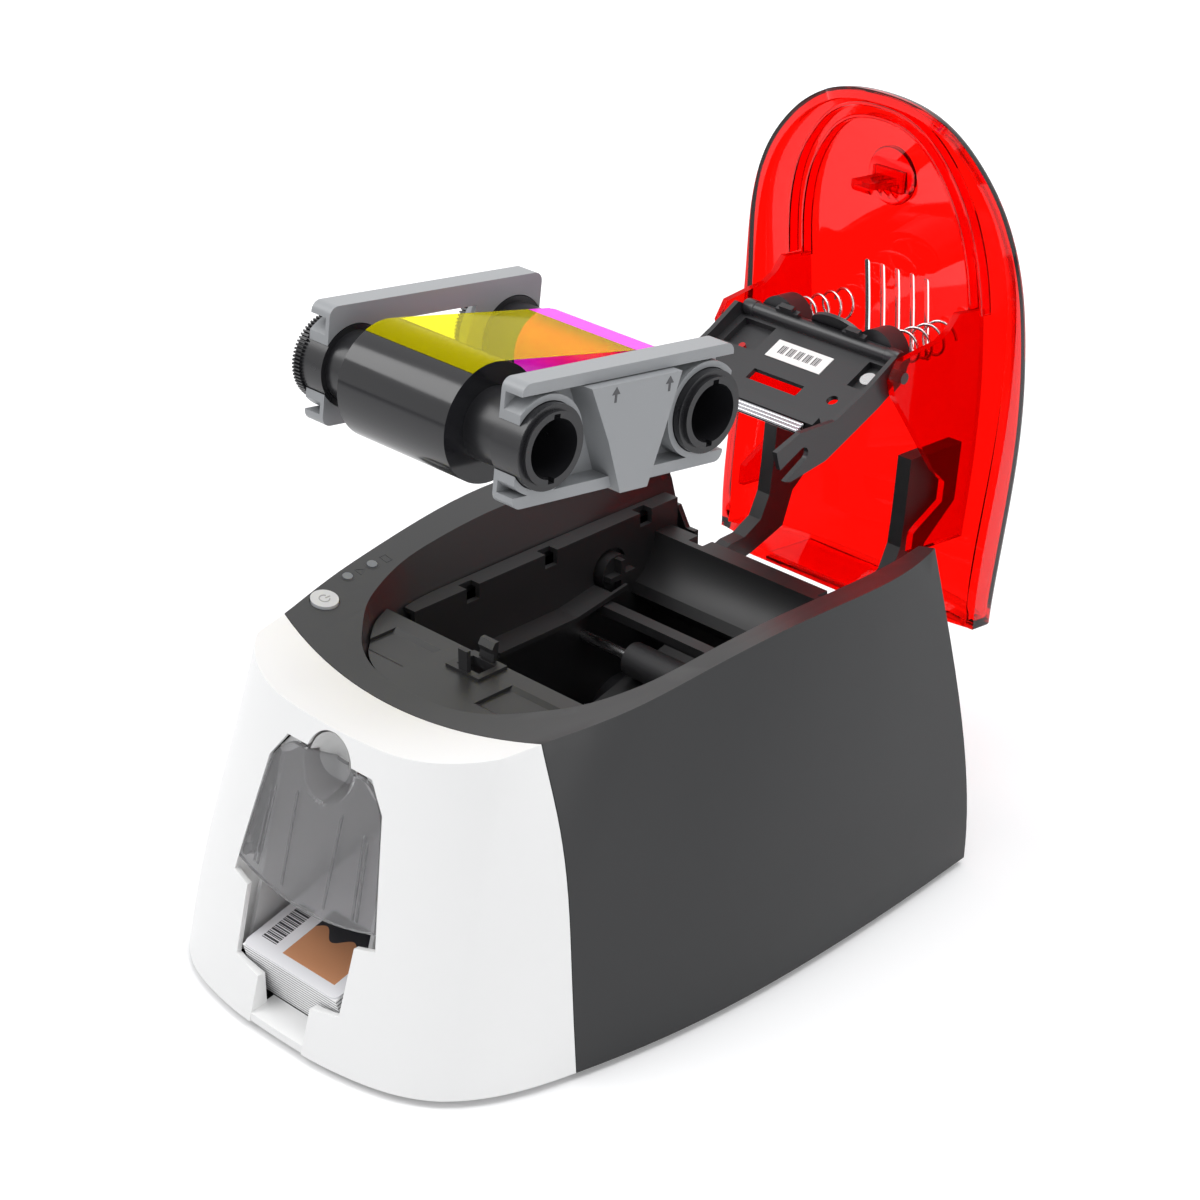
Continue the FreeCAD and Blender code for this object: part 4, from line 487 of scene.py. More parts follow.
def rod(form, start, end, radii, sides):
    """A round bar from start to end, in mm, whose radius changes at shares of its length."""
    start, end = Vector(start), Vector(end)
    along = (end - start).normalized()
    across = along.orthogonal().normalized()
    up = along.cross(across)
    capped(form, [[(start.lerp(end, share) + across * radius * math.cos(a)
                    + up * radius * math.sin(a)) * MM for a in circle(sides)]
                  for share, radius in radii])


def prism(form, outline, thick, lay):
    """A flat outline in mm given a thickness; lay turns (u, v, height) into a point."""
    capped(form, [[lay(u, v, rise) for u, v in outline] for rise in (0.0, thick)])


def merged(node):
    """A copy of a CAD node's triangles with the corners that meet joined."""
    form = bmesh.new()
    form.from_mesh(frame["nodes"][node].data)
    bmesh.ops.remove_doubles(form, verts=form.verts, dist=MERGE)
    return form


def surface(node, matrix=None):
    """The surface of a CAD node, ready to be hit by rays."""
    form = merged(node)
    if matrix:
        form.transform(matrix)
    found = BVHTree.FromBMesh(form)
    form.free()
    return found


def middle_of(node):
    """The middle of a CAD node's box, with the box."""
    low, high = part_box(node)
    return (low + high) / 2, low, high


print("helpers ready")

# %% [markdown]
# ## Repeats with Geometry Nodes
#
# Slots, teeth and stripes are one small shape many times over. A tree puts the
# shape on the points of a line or, turned step by step, round an axis. The
# instances are realized and get their material at the end of the tree, and
# the evaluated result becomes a plain mesh.

# %% Repeat tree


def repeat_tree():
    """Repeats the modifier's own mesh: Count times, moved by Step, turned by Turn about X."""
    tree = bpy.data.node_groups.new("repeat", "GeometryNodeTree")
    for title, kind in (("Geometry", "Geometry"), ("Count", "Int"), ("Step", "Vector"),
                        ("Turn", "Float"), ("Centre", "Vector"), ("Finish", "Material")):
        tree.interface.new_socket(title, in_out="INPUT", socket_type="NodeSocket" + kind)
    tree.interface.new_socket("Geometry", in_out="OUTPUT", socket_type="NodeSocketGeometry")
    new, link = tree.nodes.new, tree.links.new
    given, result = new("NodeGroupInput").outputs, new("NodeGroupOutput").inputs
    line, number = new("GeometryNodeMeshLine"), new("GeometryNodeInputIndex")
    turned, angle = new("ShaderNodeMath"), new("ShaderNodeCombineXYZ")
    turned.operation = "MULTIPLY"
    copies, real = new("GeometryNodeInstanceOnPoints"), new("GeometryNodeRealizeInstances")
    paint = new("GeometryNodeSetMaterial")
    link(given["Count"], line.inputs["Count"])
    link(given["Centre"], line.inputs["Start Location"])
    link(given["Step"], line.inputs["Offset"])
    link(number.outputs[0], turned.inputs[0])
    link(given["Turn"], turned.inputs[1])
    link(turned.outputs[0], angle.inputs["X"])
    link(line.outputs["Mesh"], copies.inputs["Points"])
    link(given["Geometry"], copies.inputs["Instance"])
    link(angle.outputs[0], copies.inputs["Rotation"])
    link(copies.outputs["Instances"], real.inputs["Geometry"])
    link(real.outputs["Geometry"], paint.inputs["Geometry"])
    link(given["Finish"], paint.inputs["Material"])
    link(paint.outputs["Geometry"], result["Geometry"])
    return tree


REPEAT = repeat_tree()
SOCKET = {item.name: item.identifier for item in REPEAT.interface.items_tree
          if item.in_out == "INPUT"}


def evaluated(item):
    """What an object's modifiers make of it, as a new BMesh."""
    bpy.context.view_layer.update()
    graph = bpy.context.evaluated_depsgraph_get()
    result = bmesh.new()
    result.from_mesh(bpy.data.meshes.new_from_object(item.evaluated_get(graph)))
    return result


def repeated(form, paint, count, step=(0, 0, 0), turn=0.0, centre=(0, 0, 0)):
    """The BMesh repeated by the tree, as a new BMesh."""
    bmesh.ops.recalc_face_normals(form, faces=form.faces)
    unit = loose_object("unit", form)
    modifier = unit.modifiers.new("repeat", "NODES")
    modifier.node_group = REPEAT
    for title, value in (("Count", count), ("Step", step), ("Turn", turn), ("Centre", centre),
                         ("Finish", FINISHES[paint])):
        modifier[SOCKET[title]] = value
    result = evaluated(unit)
    unit.modifiers.remove(modifier)
    bpy.data.objects.remove(unit)
    return result


def carved(form, tool):
    """The BMesh with another cut out of it, exactly."""
    whole, cutter = loose_object("whole", form), loose_object("cutter", tool)
    cut = whole.modifiers.new("cut", "BOOLEAN")
    cut.object, cut.operation, cut.solver, cut.use_self = cutter, "DIFFERENCE", "EXACT", True
    result = evaluated(whole)
    for item in (whole, cutter):
        bpy.data.objects.remove(item)
    return result


print("tree inputs:", ", ".join(SOCKET))

# %% [markdown]
# ## The lid
#
# The lid is one clear red moulding: a crowned skin with a thick rim, two
# U-shaped ribs that stiffen it, a round pad at the hook, and five slots that
# let the warm air out. It is built closed, where its shape is plainest, from
# rings that follow its outline, and then swung open about the hinge rod.

# %% Lid outline and crown
LID_OPEN, LID_POINTS = math.radians(96.2), 220
SMOOTHED, SMOOTH_REAR = 6, 0.125
SPINE_REAR, MITER_LEAST = 0.09, 0.7
CROWN_FALL, CROWN_DEGREE, PROBE_X, PROBE_Z = 1.5, 7, 0.024, 0.3
hinge = middle_of("hinge_rod")[0]
opened = (Matrix.Translation(hinge) @ Matrix.Rotation(-LID_OPEN, 4, "X")
          @ Matrix.Translation(-hinge))
lid_surface = surface("lid_cover", opened.inverted())
flat = [opened.inverted() @ v.co for v in frame["nodes"]["lid_cover"].data.vertices]
plan = [Vector((p.x, p.y)) for p in flat]
hull = [plan[i] for i in geometry.convex_hull_2d(plan)]
hull_length = [0.0]
for first, second in zip(hull, hull[1:] + hull[:1]):
    hull_length.append(hull_length[-1] + (second - first).length)
outline = []
for i in range(LID_POINTS):
    reach = hull_length[-1] * i / LID_POINTS
    k = max(j for j, value in enumerate(hull_length[:-1]) if value <= reach)
    share = (reach - hull_length[k]) / max(hull_length[k + 1] - hull_length[k], 1e-9)
    outline.append(hull[k].lerp(hull[(k + 1) % len(hull)], share))
if sum(a.cross(b) for a, b in zip(outline, outline[1:] + outline[:1])) < 0:
    outline.reverse()
for _ in range(SMOOTHED):
    outline = [point if point.y > SMOOTH_REAR
               else point * 0.5 + (outline[i - 2] + outline[(i + 2) % LID_POINTS]) * 0.25
               for i, point in enumerate(outline)]
inward = []
for i, point in enumerate(outline):
    along = outline[(i + 2) % LID_POINTS] - outline[i - 2]
    normal = Vector((-along.y, along.x)).normalized()
    toward = (Vector((0, min(max(point.y, 0.0), SPINE_REAR))) - point).normalized()
    inward.append(toward / max(MITER_LEAST, toward.dot(normal)))
stations = [0.001 * y for y in range(-54, 142, 7)]
heights = []
for y in stations:
    hit = lid_surface.ray_cast(Vector((PROBE_X, y, PROBE_Z)), Vector((0, 0, -1)))[0]
    heights.append(hit.z + CROWN_FALL * PROBE_X ** 2)
crown_curve = np.polyfit(stations, heights, CROWN_DEGREE)


def crown(x, y):
    """Height of the closed lid's outer surface."""
    return float(np.polyval(crown_curve, y)) - CROWN_FALL * x * x


print("lid outline:", LID_POINTS, "points; crown", round(crown(0, 0), 4), round(crown(0, 0.08), 4))

# %% [markdown]
# ## The skin of the lid and its slots
#
# The rings go from the middle of the inside out to the rim, round its edge
# and back to the middle of the outside. Each ring stands at a given drop
# below the crown, apart from the foot of the rim, which follows the CAD lid.
# A tool with five rounded slots is then cut out of the skin.

# %% Lid skin
SKIN, RIM = 2.2 * MM, 4.6 * MM
LID_MIDDLE = Vector((0, 0.045))
FOOT_INSET, FOOT_FALL, FOOT_PROBE = 1.2, 9 * MM, 0.05
SHARES = (0.9, 0.78, 0.64, 0.5, 0.36, 0.22, 0.1)
EDGE_PROFILE = (  # inset from the outline, drop below the crown; None is the foot
    (RIM + 2.0 * MM, SKIN), (RIM + 0.5 * MM, SKIN + 0.5 * MM), (RIM, SKIN + 1.8 * MM),
    (RIM, None), (0.0, None), (0.0, 2.6 * MM), (0.3 * MM, 1.2 * MM), (1.1 * MM, 0.4 * MM),
    (2.6 * MM, 0.0))
SLOTS, SLOT_LONG, SLOT_WIDE, SLOT_PITCH, SLOT_FRONT = 5, 34.0, 2.6, 8.0, 11.7
SLOT_TOOL_LOW, SLOT_TOOL_TALL, SLOT_ROUND = 130, 40.0, 8
TAIL_LOW, TAIL_HIGH = (-31.1, 143.8, 120.6), (31.1, 145.9, 150.0)
foot = []
for point, way in zip(outline, inward):
    inside = point + way * FOOT_INSET * MM
    hit = lid_surface.ray_cast(Vector((inside.x, inside.y, FOOT_PROBE)), Vector((0, 0, 1)))[0]
    foot.append(hit.z if hit else crown(point.x, point.y) - FOOT_FALL)
foot = [sorted(foot[(i + k) % LID_POINTS] for k in (-2, -1, 0, 1, 2))[2]
        for i in range(LID_POINTS)]


def lid_ring(inset, drop, share=1.0):
    """One ring: inset from the outline, then drawn to the middle by a share."""
    ring = []
    for i, (point, way) in enumerate(zip(outline, inward)):
        spot = LID_MIDDLE + (point + way * inset - LID_MIDDLE) * share
        ring.append(Vector((*spot, foot[i] if drop is None else crown(spot.x, spot.y) - drop)))
    return ring


form = bmesh.new()
inner, outer = EDGE_PROFILE[0], EDGE_PROFILE[-1]
rows = strip(form, [lid_ring(*inner, share) for share in reversed(SHARES)]
             + [lid_ring(*edge) for edge in EDGE_PROFILE]
             + [lid_ring(*outer, share) for share in SHARES])
for row, drop in ((rows[0], SKIN), (rows[-1], 0.0)):
    pole = form.verts.new((*LID_MIDDLE, crown(*LID_MIDDLE) - drop))
    for i in range(LID_POINTS):
        form.faces.new((row[i], row[(i + 1) % LID_POINTS], pole))
bmesh.ops.recalc_face_normals(form, faces=form.faces)
print("open edges of the skin:", sum(not edge.is_manifold for edge in form.edges))

unit = bmesh.new()
ends = [(SLOT_WIDE / 2 * math.cos(a), SLOT_WIDE / 2 * math.sin(a))
        for a in [math.pi * k / SLOT_ROUND for k in range(SLOT_ROUND + 1)]]
slot_line = ([(x, SLOT_LONG / 2 + y) for x, y in ends]
             + [(-x, -SLOT_LONG / 2 - y) for x, y in ends])
prism(unit, slot_line, SLOT_TOOL_TALL,
      lambda u, v, rise: Vector((u, v + SLOT_FRONT + SLOT_LONG / 2, rise + SLOT_TOOL_LOW)) * MM)
slots = repeated(unit, "lid_red", SLOTS, (SLOT_PITCH * MM, 0, 0),
                 centre=(-(SLOTS // 2) * SLOT_PITCH * MM, 0, 0))
form = carved(form, slots)
box(form, TAIL_LOW, TAIL_HIGH)
form.transform(opened)
place("lid_clear", form, "lid_red", "lid", ["lid_cover"], level=False)

# %% [markdown]
# ## Ribs, pad and gussets under the lid
#
# Two ribs run parallel to the rim and stop short of the rear. The hook stands
# on a round pad with a soft step, and three small gussets hold it from behind.

# %% Lid ribs, pad and gussets
RIB_DROP, RIB_THICK, RIB_REAR, RIB_SOFT, RIB_SINK = 6.0 * MM, 1.6 * MM, 17.0 * MM, 0.4, 0.1
LID_HALF, LID_FRONT = 73.2, 67.1
RIBS = ((53.2, 62.0), (46.3, 56.9))  # half width and reach to the front, in mm
HOOK_Y, PAD_TOP, PAD_LOW, PAD_SIDES = -30.9, 2.1, 4.0, 56
PAD_STEP = ((0.0, 12.6), (0.5, 12.2), (0.9, 11.6), (1.0, 11.0))  # share of height, radius
GUSSET = ((3, -11), (10, -2.3), (3, -2.8))  # behind the hook, below the crown
GUSSET_THICK, GUSSETS = 1.2, (-4.2, 0.0, 4.2)
form = bmesh.new()
for rib_half, rib_front in RIBS:
    line = [(Vector((p.x * rib_half / LID_HALF, p.y * (rib_front / LID_FRONT if p.y < 0 else 1.0))),
             way) for p, way in zip(outline, inward)]
    start = max(range(LID_POINTS), key=lambda i: outline[i].y)
    rings = []
    for spot, way in line[start:] + line[:start]:
        if spot.y < RIB_REAR:
            skin = crown(spot.x, spot.y) - SKIN
            top, low = skin + RIB_SINK * MM, skin - RIB_DROP
            inner, soft = spot + way * RIB_THICK, RIB_SOFT * MM
            rings.append([Vector((*at, height)) for at, height in (
                (spot, top), (spot, low + soft), (spot + way * soft, low),
                (spot + way * (RIB_THICK - soft), low), (inner, low + soft), (inner, top))])
    capped(form, rings)
hook_crown = crown(0, HOOK_Y * MM) / MM
rod(form, (0, HOOK_Y, hook_crown - PAD_TOP), (0, HOOK_Y, hook_crown - PAD_LOW), PAD_STEP, PAD_SIDES)
for x in GUSSETS:
    prism(form, [(HOOK_Y + y, hook_crown + z) for y, z in GUSSET], GUSSET_THICK,
          lambda u, v, rise, x=x: Vector((x - GUSSET_THICK / 2 + rise, u, v)) * MM)
form.transform(opened)
place("lid_ribs", form, "lid_red", "lid", smooth=40)

# %% [markdown]
# ## The hopper cover
#
# The cover is a thin smoke-clear plate that follows the sloping front face.
# Its foot is bowed, its shoulders are round, and a finger scoop is pressed in
# at its top. A grid of points takes the outline and the scoop, and gets a
# wall, so the scoop's edge catches the light as the moulded one does.

# %% Hopper cover
COVER_FOOT_LINE = ((0.0, 53.4), (10.0, 53.8), (20.0, 54.9), (30.0, 56.6), (38.6, 58.6))
COVER_SIDE = ((58.6, 38.9), (70.0, 36.5), (85.0, 34.0), (94.0, 32.2), (99.0, 31.0),
              (102.0, 29.7), (105.0, 27.4), (107.5, 24.5), (109.0, 21.8), (109.6, 19.6))
COVER_TOP, COVER_WALL, COVER_CORNER = 109.6, 1.8, 58.6
SCOOP_HALF, SCOOP_LOW, SCOOP_DEEP, SCOOP_SLOPE = 13.6, 93.7, 8.0, 0.95
DIP_DEEP, DIP_START = 3.2, 100.0
FACE_FRONT, FACE_BASE, FACE_SLOPE, FACE_BOW = -119.0, 58.0, 0.3, 0.00095
ACROSS, UP = 77, 60
RIDGES = ((11.9, 12.5, 58, 94), (27.2, 25.0, 60, 91), (29.4, 27.2, 60, 89))
RIDGE_TALL, RIDGE_END, RIDGE_SHARES = 0.5, 0.05, (0.0, 0.02, 0.98, 1.0)
KNOB_LOW, KNOB_HIGH, PIN_START, PIN_END = (-114.0, 57.6), (-110.5, 61.0), 39.5, 42.7
KNOB_X, KNOB_HALF, PIN_AT, PIN_SIDES = 40.0, 2.0, (-112.2, 59.2), 24
PIN_STEPS = ((0, 1.4), (0.9, 1.4), (1, 1.1))


def front_face(x, z):
    """How far forward the sloping front face stands, in mm."""
    return FACE_FRONT + FACE_SLOPE * (z - FACE_BASE) + FACE_BOW * x * x


def scoop_depth(x, z):
    """Depth of the finger scoop at a point of the cover."""
    rise = (z - SCOOP_LOW) / SCOOP_HALF
    if rise <= 0:
        return 0.0
    reach = SCOOP_HALF * (math.sqrt(max(0.0, 1 - (1 - rise) ** 2)) if rise < 1 else 1.0)
    inside = reach - abs(x)
    return min(SCOOP_DEEP, SCOOP_SLOPE * inside) if inside > 0 else 0.0


def read_off(rows, value):
    """The second number of a table of pairs where the first has this value."""
    return float(np.interp(value, [row[0] for row in rows], [row[1] for row in rows]))


grid = []
for j in range(UP + 1):
    line = []
    for i in range(ACROSS + 1):
        side = 2.0 * i / ACROSS - 1.0
        foot_z = read_off(COVER_FOOT_LINE, abs(side) * COVER_FOOT_LINE[-1][0])
        level = foot_z + (COVER_TOP - foot_z) * j / UP
        x = side * read_off(COVER_SIDE, max(level, COVER_CORNER))
        dip = math.cos(math.pi * x / (2 * SCOOP_HALF)) if abs(x) < SCOOP_HALF else 0.0
        fall = max(0.0, (level - DIP_START) / (COVER_TOP - DIP_START))
        line.append((x, level - DIP_DEEP * dip * fall))
    grid.append(line)
form = bmesh.new()
front, back = [[[form.verts.new(Vector((x, front_face(x, z) + scoop_depth(x, z) + wall, z)) * MM)
                 for x, z in line] for line in grid] for wall in (0.0, COVER_WALL)]
pairs = [pair for layer in (front, back) for pair in zip(layer, layer[1:])]
for near, far in pairs + [(front[0], back[0]), (front[-1], back[-1])] + [
        ([row[i] for row in front], [row[i] for row in back]) for i in (0, -1)]:
    for i in range(len(near) - 1):
        form.faces.new((near[i], near[i + 1], far[i + 1], far[i]))
for side in (-1, 1):
    for x_low, x_high, z_low, z_high in RIDGES:
        rings = []
        for share in RIDGE_SHARES:
            z = z_low + (z_high - z_low) * share
            x = side * (x_low + (x_high - x_low) * share)
            face = front_face(x, z)
            tall = RIDGE_END if share in (0.0, 1.0) else RIDGE_TALL
            rings.append([Vector((x + off, face + out, z)) * MM for off, out in (
                (-0.5, 0.3), (-0.3, -tall), (0.3, -tall), (0.5, 0.3))])
        capped(form, rings)
    box(form, (side * KNOB_X - KNOB_HALF, *KNOB_LOW), (side * KNOB_X + KNOB_HALF, *KNOB_HIGH))
    rod(form, (side * PIN_START, *PIN_AT), (side * PIN_END, *PIN_AT), PIN_STEPS, PIN_SIDES)
place("hopper_window", form, "cover_smoke", "hopper_flap", ["hopper_cover"], 28)

# %% [markdown]
# ## The bowl behind the scoop
#
# A finger reaches behind the cover's top into a round bowl in the white
# shell. The bowl's wall starts behind the scoop, so the two never touch.

# %% Thumb bowl
BOWL_MIDDLE, BOWL_RADIUS, BOWL_DEEP, BOWL_START, BOWL_WALL = 109.2, 10.9, 12.5, 0.5, 0.8
BOWL_SIDES, BOWL_GAP, BOWL_OVER, BOWL_SINK = 48, 0.6, 0.3, 0.1
BOWL_TURNS = (0.0, 0.2, 0.4, 0.6, 0.8, 0.95)  # shares of a quarter turn
rings = []
for turn in BOWL_TURNS:
    reach = BOWL_RADIUS * math.cos(turn * math.pi / 2)
    depth = BOWL_DEEP * math.sin(turn * math.pi / 2)
    ring = []
    for a in circle(BOWL_SIDES):
        x, z = reach * math.cos(a), BOWL_MIDDLE + reach * math.sin(a)
        clear = BOWL_START
        if z < COVER_TOP + BOWL_OVER:
            clear += scoop_depth(x, z) + COVER_WALL + BOWL_GAP
        ring.append(Vector((x, front_face(x, z) + max(clear, BOWL_START + depth), z)) * MM)
    rings.append(ring)
outer = [[point + Vector((0, (BOWL_WALL if n else BOWL_SINK) * MM, 0)) for point in ring]
         for n, ring in enumerate(rings)]
form = bmesh.new()
capped(form, rings[::-1] + outer)
place("thumb_bowl", form, "bowl_white", "chassis", smooth=50)

# %% [markdown]
# ## Cheeks and lip of the hopper
#
# Slanted cheeks lead the cards in, a low lip keeps them from sliding out, and
# small corner pieces close the gap beside the scoop.

# %% Hopper cheeks and front lip
CHEEK = ((32.9, 12.0), (40.5, 3.4), (40.5, 5.0), (34.0, 13.0))
CHEEK_X, CHEEK_LOW, CHEEK_HIGH = 36, 19.0, 57.0
LIP_HALF, LIP_TOP, LIP_FRONT, LIP_BACK, LIP_STEPS = 16.0, 6.6, -135.0, -122.3, 8
CORNER = ((18.6, 111.0), (18.6, 107.6), (23.0, 104.4), (27.2, 102.6), (29.6, 104.0),
          (25.0, 109.2), (22.6, 111.2))
CORNER_THICK, CORNER_BACK = 1.2, 2.6
form = bmesh.new()
for side in (-1, 1):
    capped(form, [[Vector((side * x, front_face(CHEEK_X, z) + back, z)) * MM for x, back in CHEEK]
                  for z in (CHEEK_LOW, CHEEK_HIGH)])
    prism(form, [(side * x, z) for x, z in CORNER], CORNER_THICK,
          lambda u, v, rise: Vector((u, front_face(u, v) + CORNER_BACK + rise, v)) * MM)
rings = []
for k in range(2 * LIP_STEPS + 1):
    x = LIP_HALF * (k / LIP_STEPS - 1)
    face = LIP_FRONT + FACE_BOW * x * x
    rings.append([Vector((x, y, z)) * MM for y, z in (
        (face, 3.2), (face + 2.2, 3.2), (face + 2.2, 6.1), (LIP_BACK, 6.1), (LIP_BACK, 8.3),
        (face + 1.6, LIP_TOP), (face + 0.4, LIP_TOP - 0.3))])
capped(form, rings)
place("hopper_cheeks", form, "shell_white", "chassis", smooth=40)

# %% [markdown]
# ## Soft edges on the two shells
#
# Moulded shells have no sharp edges. A merged copy of each shell gets a small
# bevel where two faces meet at a clear angle, and stands for the CAD shell.

# %% Soft shells
SOFT_WIDE, SOFT_STEPS, SOFT_ANGLE, FLAT_ANGLE = 0.8 * MM, 3, math.radians(38), math.radians(0.6)
for node, soft_name in (("front_shell", "front_shell_soft"), ("rear_shell", "rear_shell_soft")):
    form = merged(node)
    bmesh.ops.dissolve_limit(form, angle_limit=FLAT_ANGLE, verts=form.verts, edges=form.edges)
    soft = place(soft_name, form, slot_of[node], "chassis", [node], level=False)
    bevel = soft.modifiers.new("soft_edge", "BEVEL")
    bevel.width, bevel.segments, bevel.limit_method = SOFT_WIDE, SOFT_STEPS, "ANGLE"
    bevel.angle_limit, bevel.use_clamp_overlap, bevel.harden_normals = SOFT_ANGLE, True, True

# %% [markdown]
# ## The film
#
# The web leaves the top of the supply roll, a yellow panel that still lies on
# the roll for a little way, and runs flat to the take-up roll. It is one thin
# strip that follows the supply roll and then the common tangent of both.

# %% Film web
FILM_THICK, FILM_GAP, FILM_HALF = 0.12 * MM, 0.12 * MM, 28.5 * MM
FILM_CHANGE, FILM_WRAP, FILM_STEPS = 0.86, math.radians(34), 14
supply_mid, supply_low, supply_high = middle_of("supply_film")
takeup_mid, takeup_low, takeup_high = middle_of("takeup_film")
supply_r, takeup_r = (supply_high.z - supply_low.z) / 2, (takeup_high.z - takeup_low.z) / 2
away = Vector((takeup_mid.y - supply_mid.y, takeup_mid.z - supply_mid.z))
top_turn = (math.atan2(away.y, away.x) + math.pi / 2
            - math.asin((supply_r - takeup_r) / away.length))


def on_roll(centre, radius, turn):
    """A point on a roll, and the way out from the roll there."""
    way = Vector((math.cos(turn), math.sin(turn)))
    return Vector((centre.y, centre.z)) + way * radius, way


def film(name, stations, paint, stands_for):
    """A thin strip through stations, each a point of the web and the way up."""
    form = bmesh.new()
    across = rectangle(-FILM_HALF, FILM_GAP, FILM_HALF, FILM_GAP + FILM_THICK)
    capped(form, [[Vector((x, *(spot + way * rise))) for x, rise in across]
                  for spot, way in stations])
    place(name, form, paint, "cassette", stands_for)


run = [on_roll(supply_mid, supply_r, top_turn + FILM_WRAP * (1 - share / FILM_STEPS))
       for share in range(FILM_STEPS + 1)]
meet, rise_way = on_roll(takeup_mid, takeup_r, top_turn)
change = on_roll(supply_mid, supply_r, top_turn)[0].lerp(meet, FILM_CHANGE)
film("film_panel", run + [(change, rise_way)], "film_yellow", ["film_web"])
film("film_panel_next", [(change, rise_way), (meet, rise_way)], "film_magenta", ())

# %% [markdown]
# ## Knurled wheels on the cassette
#
# The far end of each core carries a wheel with fine teeth, turned by hand to
# draw the film tight. One tooth is repeated round the core.

# %% Knurled wheels
TEETH, WHEEL_WIDE, WHEEL_OFF, WHEEL_WALL, WHEEL_SIDES = 72, 4.2, 0.1, 2.6, 64
TOOTH = ((-0.62, -0.2), (0.62, -0.2), (0.3, 1.1), (-0.3, 1.1))  # across, over the wheel
for wheel, core, body in (("supply_wheel", "supply_core", "supply_spool"),
                          ("takeup_wheel", "takeup_core", "takeup_spool")):
    centre, core_low, core_high = middle_of(core)
    radius = (core_high.z - core_low.z) / 2 / MM
    tooth = bmesh.new()
    prism(tooth, [(y, radius + over) for y, over in TOOTH], WHEEL_WIDE,
          lambda u, v, rise: Vector((rise, u, v)) * MM)
    teeth = repeated(tooth, "core_black", TEETH, turn=2 * math.pi / TEETH,
                     centre=(core_low.x + WHEEL_OFF * MM, centre.y, centre.z))
    start = Vector((core_low.x, centre.y, centre.z))
    wall = rectangle(radius - WHEEL_WALL, 0.0, radius, WHEEL_WIDE)
    strip(teeth, [[start + Vector((rise + WHEEL_OFF, reach * math.cos(a), reach * math.sin(a))) * MM
                   for a in circle(WHEEL_SIDES)] for reach, rise in wall], closed_path=True)
    place(wheel, teeth, "core_black", body)

# %% [markdown]
# ## Arrows on the boss
#
# Two plain arrows stand on the near boss and point up. Each of their points
# is found by a ray that meets the flange, so they lie on its surface.

# %% Arrows on the boss
ARROW = [(-0.5, -2.6), (0.5, -2.6), (0.5, 0.4), (2.0, 0.4), (0.0, 3.2), (-2.0, 0.4), (-0.5, 0.4)]
ARROWS, ARROW_UP, ARROW_THICK, RAY_X, SINK = (-11.5, 16.0), 14.8, 0.25, 0.2, 0.1
flange = surface("cassette_flange_near")
cass_along = Vector((0, away.x, away.y)).normalized()
cass_up = Vector((0, -cass_along.z, cass_along.y))
boss_mid = (supply_mid + takeup_mid) / 2


def on_flange(u, v, rise):
    """A point on the near flange, u along it and v up it, in mm."""
    spot = Vector((RAY_X, boss_mid.y, boss_mid.z)) + cass_along * u * MM + cass_up * v * MM
    hit = flange.ray_cast(spot, Vector((-1, 0, 0)))[0]
    return Vector((hit.x - SINK * MM + rise * MM, spot.y, spot.z))


form = bmesh.new()
for side in ARROWS:
    prism(form, [(side + u, ARROW_UP + v) for u, v in ARROW], ARROW_THICK, on_flange)
place("boss_arrows", form, "ink_dark", "cassette")

# %% [markdown]
# ## Small forms on the print head
#
# The head is a black carrier with a pivot bar along its rear edge, a bracket
# with a round hump behind it, bright rods across its front, and a white label
# with plain stripes that encode nothing.

# %% Label stripes
LABEL_LEFT, LABEL_TOP, LABEL_END, LABEL_REPEATS, LABEL_PITCH = -10.6, -2.6, 1.9, 5, 4.5
LABEL_STRIPES, STRIPE_THICK, STRIPE_SINK = (
    (0.0, 0.55), (0.95, 0.3), (1.65, 0.6), (2.65, 0.35)), 0.08, 0.02
label = frame["nodes"]["head_label"].data
head_up = max(label.polygons, key=lambda p: p.area * (p.normal.z > 0)).normal.normalized()
head_down = Vector((0, -head_up.z, head_up.y)).normalized()
label_mid = middle_of("head_label")[0]
label_face = max((Vector(v.co) - label_mid).dot(head_up) for v in label.vertices) / MM


def on_label(u, v, rise):
    """A point on the label, counted from its middle: u across, v down, in mm."""
    over = rise + label_face - STRIPE_SINK
    return Vector((u, 0, 0)) * MM + (head_down * v + head_up * over) * MM


form = bmesh.new()
for u, wide in LABEL_STRIPES:
    prism(form, rectangle(u + LABEL_LEFT, LABEL_TOP, u + wide + LABEL_LEFT, LABEL_END),
          STRIPE_THICK, on_label)
stripes = repeated(form, "ink_black", LABEL_REPEATS, (LABEL_PITCH * MM, 0, 0),
                   centre=tuple(label_mid))
place("label_stripes", stripes, "ink_black", "print_head")

# %% Pivot bar and rods
BAR_STEPS = ((0, 3.2), (0.012, 3.7), (0.07, 3.7), (0.075, 3.3), (0.925, 3.3), (0.93, 3.7),
             (0.988, 3.7), (1, 3.2))
RODS, ROD_EDGE, ROD_SINK = (("heat_sink", 4, 1.3), ("print_bar", 3, 1.1)), 0.3, 0.1
BAR_SIDES, ROD_SIDES = 36, 24
bar_mid, bar_low, bar_high = middle_of("head_bar")
bar_mid = bar_mid / MM
form = bmesh.new()
rod(form, (bar_low.x / MM, bar_mid.y, bar_mid.z), (bar_high.x / MM, bar_mid.y, bar_mid.z),
    BAR_STEPS, BAR_SIDES)
place("head_bar_black", form, "bar_black", "print_head", ["head_bar"])

